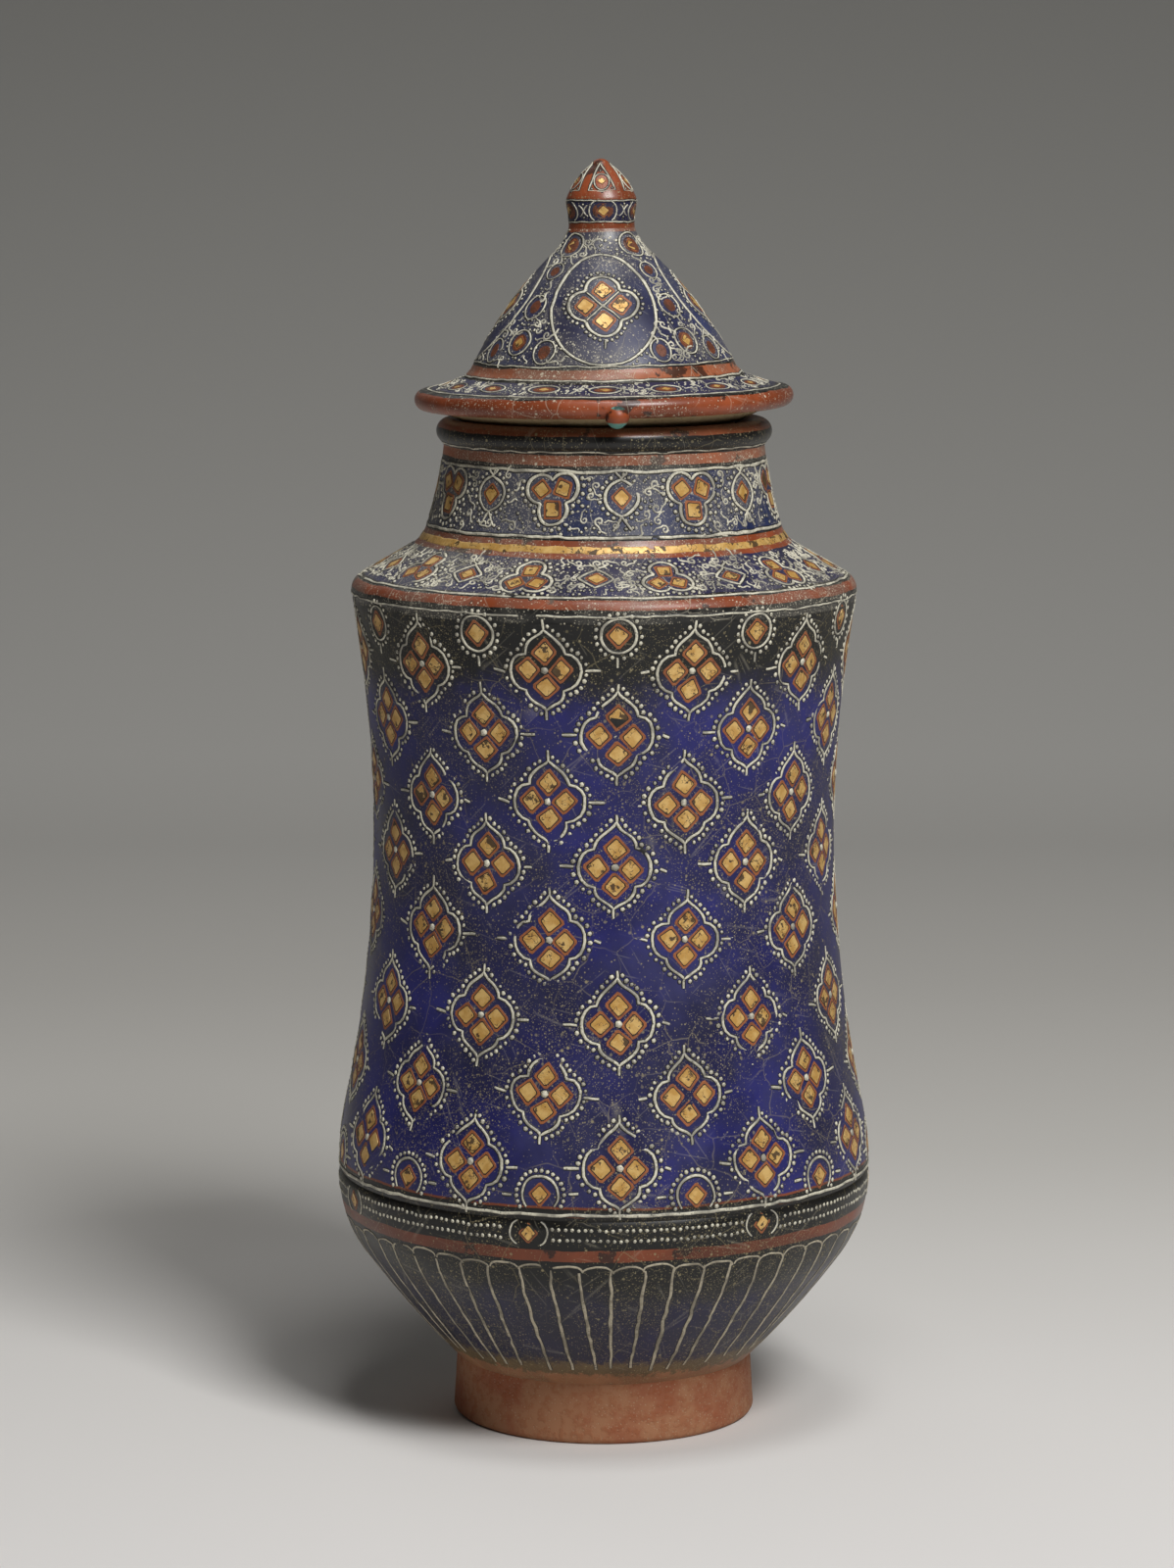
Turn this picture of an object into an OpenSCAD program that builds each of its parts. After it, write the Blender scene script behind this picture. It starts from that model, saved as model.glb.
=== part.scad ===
// Waisted storage jar with a bell-shaped lid, built from the sections a potter throws and joins.
// Millimetres, +Z up. The origin is the middle of the circle that the jar stands on.

/* [Foot] */
// Radius of the foot where it meets the table
foot_r = 45.2; // [43:0.1:48]
// Radius of the foot where it meets the bowl
foot_top_r = 44.2; // [42:0.1:47]
// Height of the foot ring
foot_h = 18; // [15:0.5:21]
// Width of the ring that the jar stands on
foot_ring_w = 12; // [9:0.5:14]
// Depth of the hollow under the base
foot_hollow = 9; // [6:0.5:11]
// Rounding of the foot's lower edges
foot_edge = 1.8; // [1:0.1:2.5]

/* [Bowl and drum] */
// Largest radius, at the seam between bowl and drum
belly_r = 79.6; // [77:0.1:82]
// Height of that seam
belly_z = 75; // [71:0.5:79]
// Radius of the bend where the bowl turns in below the seam
bowl_bend = 39; // [34:0.5:44]
// How far that bend turns, in degrees
bowl_turn = 36; // [30:1:40]
// Radius of the bend where the drum turns in above the seam
drum_bend = 85; // [60:1:110]
// Radius at the waist of the drum
waist_r = 68.6; // [66:0.1:71]
// Height of the waist
waist_z = 178.8; // [172:0.2:186]
// Thickness of the wall
wall = 6.5; // [5:0.25:8]
// Depth of the groove along the seam
groove_d = 0.7; // [0.3:0.1:1.2]
// Height of the groove along the seam
groove_h = 2.4; // [1.6:0.2:3.6]

/* [Shoulder and neck] */
// Height of the seam between drum and shoulder
shoulder_z = 246; // [240:0.5:250]
// Rounding of the shoulder's edge
shoulder_edge = 4.5; // [3:0.25:5.5]
// Slope of the shoulder, in degrees
shoulder_slope = 30; // [26:0.5:33]
// Radius at the foot of the neck
neck_base_r = 52.5; // [51:0.1:54]
// Height of the seam between shoulder and neck
neck_z = 267.5; // [266:0.5:269]
// Radius of the fillet between shoulder and neck
neck_fillet = 10.5; // [8:0.5:16]
// Radius at the top of the neck
neck_r = 47.3; // [46:0.1:48.5]
// Radius of the neck's hollow curve
neck_bow = 115; // [80:5:200]
// Thickness of the neck
neck_wall = 6; // [5:0.25:7]

/* [Mouth] */
// Height of the seam between neck and rim
rim_z = 291.5; // [289:0.5:294]
// Largest radius of the rolled rim
rim_r = 49.5; // [48.5:0.1:50.5]
// Radius of the roll itself
rim_roll = 3.75; // [3.25:0.05:4]
// Height of the middle of the roll above the seam
rim_rise = 4.1; // [3.6:0.1:5]

/* [Lid] */
// Largest radius of the brim
brim_r = 55.8; // [54:0.1:58]
// Radius of the roll along the brim's edge
brim_roll = 3; // [2.6:0.1:3.4]
// Height of the roll's middle above the jar's mouth
brim_roll_z = 5; // [4.6:0.1:5.4]
// Rise of the conical seat under the brim, as height over width
seat_rise = 0.5; // [0.42:0.01:0.55]
// Radius of the open hole through the brim
brim_hole_r = 34.5; // [33:0.25:36]
// Radius at the foot of the bell
bell_r = 41.2; // [40:0.1:43]
// Height of the seam between brim and bell above the jar's mouth
bell_z = 11.5; // [11:0.1:12.5]
// Radius of the bell's outward curve
bell_bow = 125; // [90:5:300]
// Thickness of the bell
bell_wall = 5.5; // [4.5:0.25:6.5]
// How far the lid leans on its seat, in degrees
lid_lean = 0.8; // [0:0.1:1.5]
// Length of the collar that drops into the mouth
collar_h = 8; // [5:0.5:12]
// Outside radius of the collar
collar_r = 38.5; // [38:0.1:39]
// Radius of the drop of glaze under the brim's edge
drop_r = 3.4; // [2:0.1:4]

/* [Knob] */
// Height of the seam between bell and knob above the jar's mouth
knob_z = 54.5; // [53:0.5:56]
// Radius of the knob's stem
stem_r = 9.7; // [9:0.1:10.2]
// Largest radius of the bud
bud_r = 10.3; // [10:0.1:11.5]
// Height of the tip above the jar's mouth
tip_z = 74.6; // [72:0.2:80]
// Rounding of the tip
tip_r = 3.1; // [2.4:0.1:3.6]

/* [Hidden] */
$fn = 96;
arc_n = 10;

clay = [0.66, 0.45, 0.33];
cobalt = [0.13, 0.14, 0.33];
smoke = [0.13, 0.13, 0.14];
brick = [0.52, 0.25, 0.17];
cream = [0.80, 0.74, 0.60];

// Points of an arc about c, from angle a0 to angle a1
function arc(c, r, a0, a1, n = arc_n) =
    [for (i = [0:n]) let (a = a0 + (a1 - a0) * i / n) c + r * [cos(a), sin(a)]];

// Points of an arc of radius r from p up to q: positive r swells outwards, negative r is hollow
function bow(p, q, r, n = arc_n) =
    let (chord = q - p,
         left = [-chord.y, chord.x] / norm(chord),
         c = (p + q) / 2 + sign(r) * sqrt(r * r - chord * chord / 4) * left,
         a0 = atan2(p.y - c.y, p.x - c.x),
         a1 = atan2(q.y - c.y, q.x - c.x),
         turn = (a1 - a0 + 540) % 360 - 180)
    arc(c, abs(r), a0, a0 + turn, n);

// The points of a line in the other direction, and all but the first of them
function back(line) = [for (i = [len(line) - 1:-1:0]) line[i]];
function after_first(line) = [for (i = [1:len(line) - 1]) line[i]];

// The inner face of a wall of thickness t, measured square to the slope of its outer face
function inner(line, t) =
    [for (i = [0:len(line) - 1])
        let (along = line[min(i + 1, len(line) - 1)] - line[max(i - 1, 0)])
        line[i] - [t * norm(along) / abs(along.y), 0]];

// Foot: the hole in the ring takes the plug of the bowl's floor
foot_hole_r = foot_r - foot_ring_w;

// Bowl: a flank that swells a little from the foot, tangent to the bend below the seam
bend_c = [belly_r - bowl_bend, belly_z - groove_h / 2];
bend_line = arc(bend_c, bowl_bend, -bowl_turn, 0);
foot_top = [foot_top_r, foot_h];
rise = bend_line[0] - foot_top;
rise_a = atan2(rise.y, rise.x);
bowl_bow = norm(rise) / (2 * sin(90 - bowl_turn - rise_a));
bowl_line = concat(bow(foot_top, bend_line[0], bowl_bow), after_first(bend_line));

// Drum: a bend above the seam, tangent to the long hollow curve of the waist
drum_foot_z = belly_z + groove_h / 2;
swell = belly_r - waist_r;
waist_drop = waist_z - drum_foot_z;
both_bends = (swell * swell + waist_drop * waist_drop) / (2 * swell);
waist_bow = both_bends - drum_bend;
meet_a = asin(waist_drop / both_bends);
drum_top_a = asin((shoulder_z - waist_z) / waist_bow);
drum_top_r = waist_r + waist_bow * (1 - cos(drum_top_a));
drum_line = concat(
    arc([belly_r - drum_bend, drum_foot_z], drum_bend, 0, meet_a),
    after_first(arc([waist_r + waist_bow, waist_z], waist_bow, 180 + meet_a, 180 - drum_top_a, 2 * arc_n)));

// Shoulder: a rounded edge that overhangs the drum a little, a slope and the fillet of the neck
overhang = 0.4;
edge_start = -25;
edge_rise = 3;
edge_c = [drum_top_r + overhang - shoulder_edge, shoulder_z + edge_rise];
edge_line = arc(edge_c, shoulder_edge, edge_start, 90 - shoulder_slope);
slope_top = edge_line[len(edge_line) - 1];
fillet_w = 4.7;
fillet_r = neck_base_r + fillet_w;
fillet_foot = [fillet_r, slope_top.y + (slope_top.x - fillet_r) * tan(shoulder_slope)];
neck_foot = [neck_base_r, neck_z];
shoulder_line = concat([[drum_top_r, shoulder_z]], edge_line, bow(fillet_foot, neck_foot, -neck_fillet));

// The underside of the shoulder lies one wall below its slope
under_drop = wall / cos(shoulder_slope);
drum_top_in = drum_top_r - wall;
neck_foot_in = neck_base_r - neck_wall;
function under_z(r) = slope_top.y + (slope_top.x - r) * tan(shoulder_slope) - under_drop;

// Neck and mouth
neck_line = bow(neck_foot, [neck_r, rim_z], -neck_bow);
rim_c = [rim_r - rim_roll, rim_z + rim_rise];
rim_from = -60;
rim_to = 200;
mouth_z = rim_c.y + rim_roll;

// Lid: heights are measured from the top of the rim. The seat is a cone that centres itself in the mouth.
seat_gap = 0.4;
seat_in = [41, -1.8];
edge_in = 2.6;
seat_out_r = brim_r - brim_roll - edge_in;
seat_out = [seat_out_r, seat_in.y + (seat_out_r - seat_in.x) * seat_rise];
brim_c = [brim_r - brim_roll, brim_roll_z];
brim_from = -135;
brim_to = 100;
brim_mid = [bell_r + 6.5, bell_z - 2.5];
brim_line = concat([[brim_hole_r, seat_in.y], seat_in, seat_out], arc(brim_c, brim_roll, brim_from, brim_to),
                   [brim_mid, [bell_r, bell_z], [brim_hole_r, bell_z]]);
collar_edge = 0.8;
collar_z = seat_in.y - collar_h;

// Bell: a small fillet at its foot, a swelling flank and a hollow curve up to the stem
flank_foot = [bell_r - 2.1, bell_z + 2.2];
flank_top = [stem_r + 5.8, knob_z - 8.2];
stem_fillet = 15;
flank = bow(flank_foot, flank_top, bell_bow);
bell_line = concat([[bell_r, bell_z]], flank, after_first(bow(flank_top, [stem_r, knob_z], -stem_fillet)));

// The hollow inside the bell follows the flank and closes in a shallow dome
flank_in = inner(flank, bell_wall);
hollow_n = arc_n - 2;
hollow_line = [for (i = [0:hollow_n]) flank_in[i]];
dome_h = 5;
dome_top = [0, hollow_line[hollow_n].y + dome_h];

// Knob: a stem that widens into a pointed bud
waist_of_stem = [stem_r - 0.1, knob_z + 2.5];
bud_foot = [bud_r, knob_z + 6.8];
bud_widest = [bud_r, knob_z + 8.6];
stem_bow = 14;
bud_bow = 21;
tip_c = [0, tip_z - tip_r];
tip_a = 25;
tip_foot = tip_c + tip_r * [cos(tip_a), sin(tip_a)];
knob_line = concat([[stem_r, knob_z]], bow(waist_of_stem, bud_foot, -stem_bow),
                   bow(bud_widest, tip_foot, bud_bow), after_first(arc(tip_c, tip_r, tip_a, 90)));

// The drop of glaze hangs at the front, a little to the right
drop_a = -86.3;
drop_at_r = brim_r - 0.9;
drop_at = [drop_at_r * cos(drop_a), drop_at_r * sin(drop_a), brim_roll_z - 2.4];

// The lid stands on the rim's left side and rises towards its right
lean_pivot = [-44, 0, 0];

module turned(outline) {
    rotate_extrude() polygon(outline);
}

module seated() {
    translate([0, 0, mouth_z + seat_gap] + lean_pivot)
        rotate([0, -lid_lean, 0])
            translate(-lean_pivot) children();
}

module foot_ring() {
    edge_n = 4;
    low = concat(arc([foot_hole_r + foot_edge, foot_edge], foot_edge, 180, 270, edge_n),
                 arc([foot_r - foot_edge, foot_edge], foot_edge, 270, 360, edge_n));
    color(clay) turned(concat(low, [foot_top, [foot_hole_r, foot_h]]));
}

module lower_bowl() {
    base = [[0, foot_hollow], [foot_hole_r, foot_hollow], [foot_hole_r, foot_h]];
    seam = [[belly_r - groove_d, belly_z], [belly_r - wall, belly_z]];
    color(cobalt) turned(concat(base, bowl_line, seam, back(inner(bowl_line, wall)), [[0, foot_h]]));
}

module waist_drum() {
    seam = [[belly_r - wall, belly_z], [belly_r - groove_d, belly_z]];
    color(cobalt) turned(concat(seam, drum_line, back(inner(drum_line, wall))));
}

module shoulder() {
    underside = [[neck_foot_in, neck_z], [neck_foot_in, under_z(neck_foot_in)],
                 [drum_top_in, under_z(drum_top_in)], [drum_top_in, shoulder_z]];
    color(brick) turned(concat(shoulder_line, underside));
}

module neck() {
    color(cobalt) turned(concat(neck_line, back(inner(neck_line, neck_wall))));
}

module mouth_rim() {
    color(smoke) turned(concat([[neck_r, rim_z]], arc(rim_c, rim_roll, rim_from, rim_to, 2 * arc_n),
                               [[neck_r - neck_wall, rim_z]]));
}

module lid_collar() {
    color(cream) seated()
        turned([[brim_hole_r, collar_z], [collar_r - collar_edge, collar_z],
                [collar_r, collar_z + collar_edge], [collar_r, seat_in.y], [brim_hole_r, seat_in.y]]);
}

module lid_brim() {
    color(brick) seated() {
        turned(brim_line);
        translate(drop_at) sphere(drop_r);
    }
}

module lid_cone() {
    color(cobalt) seated()
        turned(concat(bell_line, [[0, knob_z], dome_top], back(hollow_line), [[brim_hole_r, bell_z]]));
}

module lid_knob() {
    color(brick) seated() turned(concat(knob_line, [[0, knob_z]]));
}

foot_ring();
lower_bowl();
waist_drum();
shoulder();
neck();
mouth_rim();
lid_collar();
lid_brim();
lid_cone();
lid_knob();
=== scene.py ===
# %% [markdown]
# # A waisted storage jar with a bell-shaped lid
# The object is a glazed stonepaste jar of the kind that kept spices and ointments. Its body is thrown in
# sections, covered in a dark cobalt glaze and painted in white and red enamel with squares of gold leaf.
# The CAD frame gives the sizes, the two bodies (jar and lid) and the sections as nodes. This script gives
# every section its finish, and lays the painting on it as real, slightly raised strokes.

# %% Load the frame
import math
import random

import bmesh
import bpy
from mathutils import Euler, Matrix, Vector


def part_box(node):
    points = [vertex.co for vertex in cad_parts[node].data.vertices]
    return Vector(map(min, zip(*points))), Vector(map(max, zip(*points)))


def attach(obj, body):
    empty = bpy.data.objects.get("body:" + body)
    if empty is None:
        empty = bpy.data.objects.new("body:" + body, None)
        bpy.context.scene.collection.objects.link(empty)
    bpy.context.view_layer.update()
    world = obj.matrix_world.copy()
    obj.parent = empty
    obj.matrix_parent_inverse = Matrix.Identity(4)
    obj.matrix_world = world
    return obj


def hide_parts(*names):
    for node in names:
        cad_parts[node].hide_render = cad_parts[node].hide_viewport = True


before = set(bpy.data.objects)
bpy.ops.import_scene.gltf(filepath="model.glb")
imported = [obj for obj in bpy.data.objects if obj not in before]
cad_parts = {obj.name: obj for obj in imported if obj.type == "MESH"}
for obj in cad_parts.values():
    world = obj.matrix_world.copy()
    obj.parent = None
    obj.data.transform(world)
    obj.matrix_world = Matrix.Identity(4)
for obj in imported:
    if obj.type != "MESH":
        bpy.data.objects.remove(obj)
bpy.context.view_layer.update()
scene = bpy.context.scene
MM = 0.001

# %% [markdown]
# ## Camera
# The photograph was taken with a long lens from a little above the jar. The focal length in pixels and the
# camera's place were found by fitting the outline of the jar in its frame of 1198 by 1600 pixels.

# %% Camera at the photograph's angle
PHOTO_HIGH = 1600
FOCAL_PIXELS = 5000
SENSOR = 36
LOOK_DOWN = math.radians(8.2)
CAMERA_AT = (-0.00505, -1.4449, 0.3983)

lens = bpy.data.cameras.new("photo_camera")
lens.sensor_fit = "VERTICAL"
lens.sensor_height = SENSOR
lens.lens = FOCAL_PIXELS / PHOTO_HIGH * SENSOR
camera = bpy.data.objects.new("photo_camera", lens)
camera.location = CAMERA_AT
camera.rotation_euler = (math.pi / 2 - LOOK_DOWN, 0, 0)
scene.collection.objects.link(camera)
scene.camera = camera
scene.view_settings.view_transform = "Standard"
print("lens", round(lens.lens, 1), "mm")

# %% [markdown]
# ## A short way to wire nodes
# Geometry and materials are both made of nodes, and wiring them one link at a time fills pages. This small
# class adds a node, sets its options, and feeds each input either a fixed value or another node's socket.


# %% Wires
class Wires:
    """Adds nodes to one tree."""

    def __init__(self, tree):
        self.tree = tree

    def node(self, kind, feeds=None, **settings):
        made = self.tree.nodes.new(kind)
        for name, value in settings.items():
            setattr(made, name, value)
        for key, value in (feeds or {}).items():
            if isinstance(value, bpy.types.NodeSocket):
                self.tree.links.new(value, made.inputs[key])
            else:
                made.inputs[key].default_value = value
        return made

    def math(self, operation, *values, clamp=False):
        feeds = dict(enumerate(values))
        return self.node("ShaderNodeMath", feeds, operation=operation, use_clamp=clamp).outputs[0]

    def vector(self, x, y, z):
        return self.node("ShaderNodeCombineXYZ", {0: x, 1: y, 2: z}).outputs[0]

    def split(self, vector):
        return self.node("ShaderNodeSeparateXYZ", {0: vector}).outputs

    def ramp(self, value, low, high, to_low=0.0, to_high=1.0):
        """Carries a value from one range to another along a soft S curve, and stops at both ends."""
        feeds = {0: value, 1: low, 2: high, 3: to_low, 4: to_high}
        return self.node("ShaderNodeMapRange", feeds, interpolation_type="SMOOTHSTEP").outputs[0]

    def noise(self, vector, scale, detail=2.0, roughness=0.5):
        feeds = {"Vector": vector, "Scale": scale, "Detail": detail, "Roughness": roughness}
        return self.node("ShaderNodeTexNoise", feeds).outputs

    def add(self, one, other):
        return self.node("ShaderNodeVectorMath", {0: one, 1: other}, operation="ADD").outputs[0]

    def link(self, socket, into):
        self.tree.links.new(socket, into)


def new_tree(name, kind, inputs, outputs):
    """A node group with named sockets. Each input is (name, socket type, default)."""
    tree = bpy.data.node_groups.new(name, kind)
    for label, socket, default in inputs:
        made = tree.interface.new_socket(label, in_out="INPUT", socket_type=socket)
        if default is not None:
            made.default_value = default
    for label, socket in outputs:
        tree.interface.new_socket(label, in_out="OUTPUT", socket_type=socket)
    wires = Wires(tree)
    return wires, wires.node("NodeGroupInput").outputs, wires.node("NodeGroupOutput").inputs


FLOAT, VECTOR, GEOMETRY = "NodeSocketFloat", "NodeSocketVector", "NodeSocketGeometry"
MATERIAL, OBJECT = "NodeSocketMaterial", "NodeSocketObject"

# %% [markdown]
# ## Outlines
# A potter's section is a turned shape, so each one is known by the line of its wall. The same arcs as in the
# CAD source are drawn here, only with more points, so that the glaze shows no flat faces.


# %% Lines made of arcs
def arc(c, r, a0, a1, step=1.6):
    """Points of an arc about c, from angle a0 to angle a1 in degrees, about step mm apart."""
    n = max(3, math.ceil(abs(math.radians(a1 - a0)) * r / step))
    turns = [math.radians(a0 + (a1 - a0) * i / n) for i in range(n + 1)]
    return [Vector((c[0] + r * math.cos(a), c[1] + r * math.sin(a))) for a in turns]


def bow(p, q, r):
    """An arc of radius r from p to q: it swells outwards, or is hollow where r is negative."""
    p, q = Vector(p), Vector(q)
    chord = q - p
    left = Vector((-chord.y, chord.x)).normalized()
    c = (p + q) / 2 + math.copysign(math.sqrt(r * r - chord.length_squared / 4), r) * left
    a0 = math.degrees(math.atan2(p.y - c.y, p.x - c.x))
    a1 = math.degrees(math.atan2(q.y - c.y, q.x - c.x))
    return arc(c, abs(r), a0, a0 + (a1 - a0 + 540) % 360 - 180)


def inner(line, t):
    """The inner face of a wall of thickness t."""
    found = []
    for i, p in enumerate(line):
        along = line[min(i + 1, len(line) - 1)] - line[max(i - 1, 0)]
        found.append(p - Vector((t * along.length / abs(along.y), 0)))
    return found


def dense(line, step):
    """The same line with points at most step mm apart."""
    found = [Vector(line[0])]
    for p, q in zip(line, line[1:]):
        n = max(1, math.ceil((Vector(q) - Vector(p)).length / step))
        found += [Vector(p).lerp(Vector(q), i / n) for i in range(1, n + 1)]
    return found


# %% The jar's outlines, in mm
FOOT_R, FOOT_TOP_R, FOOT_H, FOOT_HOLE_R, FOOT_HOLLOW, FOOT_EDGE = 45.2, 44.2, 18, 33.2, 9, 1.8
BELLY_R, BELLY_Z, BOWL_BEND, BOWL_TURN = 79.6, 75, 39, 36
DRUM_BEND, WAIST_R, WAIST_Z, WALL, GROOVE_D, GROOVE_H = 85, 68.6, 178.8, 6.5, 0.7, 2.4
SHOULDER_Z, SHOULDER_EDGE, SHOULDER_SLOPE, OVERHANG, EDGE_RISE = 246, 4.5, 30, 0.4, 3
NECK_BASE_R, NECK_Z, NECK_FILLET, FILLET_W = 52.5, 267.5, 10.5, 4.7
NECK_R, NECK_BOW, NECK_WALL = 47.3, 115, 6
RIM_Z, RIM_R, RIM_ROLL, RIM_RISE = 291.5, 49.5, 3.75, 4.1

foot_top = Vector((FOOT_TOP_R, FOOT_H))
foot_line = arc((FOOT_HOLE_R + FOOT_EDGE, FOOT_EDGE), FOOT_EDGE, 180, 270, 0.5)
foot_line += arc((FOOT_R - FOOT_EDGE, FOOT_EDGE), FOOT_EDGE, 270, 360, 0.5) + [foot_top]

bend_line = arc((BELLY_R - BOWL_BEND, BELLY_Z - GROOVE_H / 2), BOWL_BEND, -BOWL_TURN, 0)
rise = bend_line[0] - foot_top
flank_turn = math.radians(90 - BOWL_TURN) - math.atan2(rise.y, rise.x)
bowl_line = bow(foot_top, bend_line[0], rise.length / (2 * math.sin(flank_turn))) + bend_line[1:]

drum_foot_z = BELLY_Z + GROOVE_H / 2
swell, waist_drop = BELLY_R - WAIST_R, WAIST_Z - drum_foot_z
both_bends = (swell**2 + waist_drop**2) / (2 * swell)
waist_bow = both_bends - DRUM_BEND
meet_a = math.degrees(math.asin(waist_drop / both_bends))
drum_top_a = math.degrees(math.asin((SHOULDER_Z - WAIST_Z) / waist_bow))
drum_line = arc((BELLY_R - DRUM_BEND, drum_foot_z), DRUM_BEND, 0, meet_a)
drum_line += arc((WAIST_R + waist_bow, WAIST_Z), waist_bow, 180 + meet_a, 180 - drum_top_a)[1:]
drum_top = drum_line[-1]

slope = math.tan(math.radians(SHOULDER_SLOPE))
edge_line = arc((drum_top.x + OVERHANG - SHOULDER_EDGE, SHOULDER_Z + EDGE_RISE), SHOULDER_EDGE,
                -25, 90 - SHOULDER_SLOPE, 0.7)
slope_top = edge_line[-1]
fillet_r = NECK_BASE_R + FILLET_W
fillet_foot = Vector((fillet_r, slope_top.y + (slope_top.x - fillet_r) * slope))
neck_foot = Vector((NECK_BASE_R, NECK_Z))
shoulder_line = dense([drum_top] + edge_line + bow(fillet_foot, neck_foot, -NECK_FILLET), 1.6)


def under_z(r):
    """The underside of the shoulder, one wall below its slope."""
    return slope_top.y + (slope_top.x - r) * slope - WALL / math.cos(math.radians(SHOULDER_SLOPE))


neck_line = bow(neck_foot, (NECK_R, RIM_Z), -NECK_BOW)
rim_line = [Vector((NECK_R, RIM_Z))] + arc((RIM_R - RIM_ROLL, RIM_Z + RIM_RISE), RIM_ROLL, -60, 200, 0.6)
MOUTH_Z = RIM_Z + RIM_RISE + RIM_ROLL
seam_r = BELLY_R - GROOVE_D
drum_in, neck_in = drum_top.x - WALL, NECK_BASE_R - NECK_WALL
print("waist radius", WAIST_R, "mm, mouth at", MOUTH_Z, "mm")

# %% The lid's outlines, in mm above the mouth
BRIM_R, BRIM_ROLL, BRIM_ROLL_Z, SEAT_RISE, BRIM_HOLE_R = 55.8, 3, 5, 0.5, 34.5
BELL_R, BELL_Z, BELL_BOW, BELL_WALL, LID_LEAN = 41.2, 11.5, 125, 5.5, 0.8
COLLAR_H, COLLAR_R, COLLAR_EDGE, SEAT_GAP = 8, 38.5, 0.8, 0.4
KNOB_Z, STEM_R, BUD_R, TIP_Z, TIP_R, TIP_TURN = 54.5, 9.7, 10.3, 74.6, 3.1, 25
SEAT_R, SEAT_Z, SEAT_EDGE, BRIM_STEP, BRIM_FALL = 41, -1.8, 2.6, 6.5, 2.5
FLANK_IN, FLANK_RISE, FLANK_OUT, FLANK_DROP, STEM_FILLET = 2.1, 2.2, 5.8, 8.2, 15
HOLLOW_SHARE, DOME_RISE = 0.8, 5
STEM_WAIST, STEM_TOP, STEM_BOW, BUD_FOOT, BUD_EDGE, BUD_BOW = 0.1, 2.5, 14, 6.8, 8.6, 21
LEAN_PIVOT = -44

lid_z = MOUTH_Z + SEAT_GAP
seat_in = Vector((SEAT_R, SEAT_Z))
seat_out_r = BRIM_R - BRIM_ROLL - SEAT_EDGE
seat_out = Vector((seat_out_r, seat_in.y + (seat_out_r - seat_in.x) * SEAT_RISE))
roll_line = arc((BRIM_R - BRIM_ROLL, BRIM_ROLL_Z), BRIM_ROLL, -135, 100, 0.5)
brim_top = dense([roll_line[-1], (BELL_R + BRIM_STEP, BELL_Z - BRIM_FALL), (BELL_R, BELL_Z)], 1.2)
flank_foot = Vector((BELL_R - FLANK_IN, BELL_Z + FLANK_RISE))
flank_top = Vector((STEM_R + FLANK_OUT, KNOB_Z - FLANK_DROP))
flank = bow(flank_foot, flank_top, BELL_BOW)
bell_line = [Vector((BELL_R, BELL_Z))] + flank + bow(flank_top, (STEM_R, KNOB_Z), -STEM_FILLET)[1:]
flank_in = inner(flank, BELL_WALL)
hollow_line = flank_in[: int(len(flank_in) * HOLLOW_SHARE) + 1]
dome_top = Vector((0, hollow_line[-1].y + DOME_RISE))
tip_line = arc((0, TIP_Z - TIP_R), TIP_R, TIP_TURN, 90, 0.4)
knob_line = [Vector((STEM_R, KNOB_Z))]
knob_line += bow((STEM_R - STEM_WAIST, KNOB_Z + STEM_TOP), (BUD_R, KNOB_Z + BUD_FOOT), -STEM_BOW)
knob_line += bow((BUD_R, KNOB_Z + BUD_EDGE), tip_line[0], BUD_BOW) + tip_line[1:]
knob_line = dense(knob_line, 0.9)


def lifted(line):
    """A line of the lid at its height on the jar."""
    return [Vector((p[0], p[1] + lid_z)) for p in line]


lean = Euler((0, -math.radians(LID_LEAN), 0))
pivot = Vector((LEAN_PIVOT, 0, lid_z)) * MM
lean_shift = pivot - lean.to_matrix() @ pivot
print("lid stands at", round(lid_z, 2), "mm and leans by", LID_LEAN, "degrees")

# %% [markdown]
# ## Stage and light
# The photograph has a plain studio sweep: a pale floor that fades to grey behind the jar. One curved sheet
# does that, with a slow gradient along it; the fade to grey is painted shade, darker towards the back and up
# the wall where the light falls off. Seen from behind, the sheet would hide the jar, so its back lets the
# camera look through, which changes nothing for the light. A large soft lamp stands on the right in front
# and above, one hangs overhead, a weak one stands behind, and the world adds even light, so a colour renders
# about as it is written.


# %% Colours are written as they look on screen
def srgb(red, green, blue):
    """A colour of 0 to 255 per channel as the linear values that shaders use."""
    def linear(c):
        c /= 255
        return c / 12.92 if c <= 0.04045 else ((c + 0.055) / 1.055) ** 2.4
    return (linear(red), linear(green), linear(blue), 1.0)


def colour_stops(wires, value, stops):
    """A colour ramp with stops of (place, colour), in order from place 0 to place 1."""
    ramp = wires.node("ShaderNodeValToRGB", {0: value})
    marks = ramp.color_ramp.elements
    for place, _ in stops[1:-1]:
        marks.new(place)
    for mark, (_, colour) in zip(marks, stops):
        mark.color = colour
    return ramp.outputs[0]


def plain_material(name):
    """A material whose tree is empty but for its output, and the wires to fill it."""
    made = bpy.data.materials.new(name)
    made.use_nodes = True
    made.node_tree.nodes.clear()
    return made, Wires(made.node_tree)


# %% The sweep
SWEEP_WIDE, SWEEP_NEAR, SWEEP_FAR, SWEEP_BEND, SWEEP_HIGH = 12.0, -6.0, 1.1, 0.7, 4.0
SHADE_FROM, SHADE_TO = -0.2, 2.3

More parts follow.
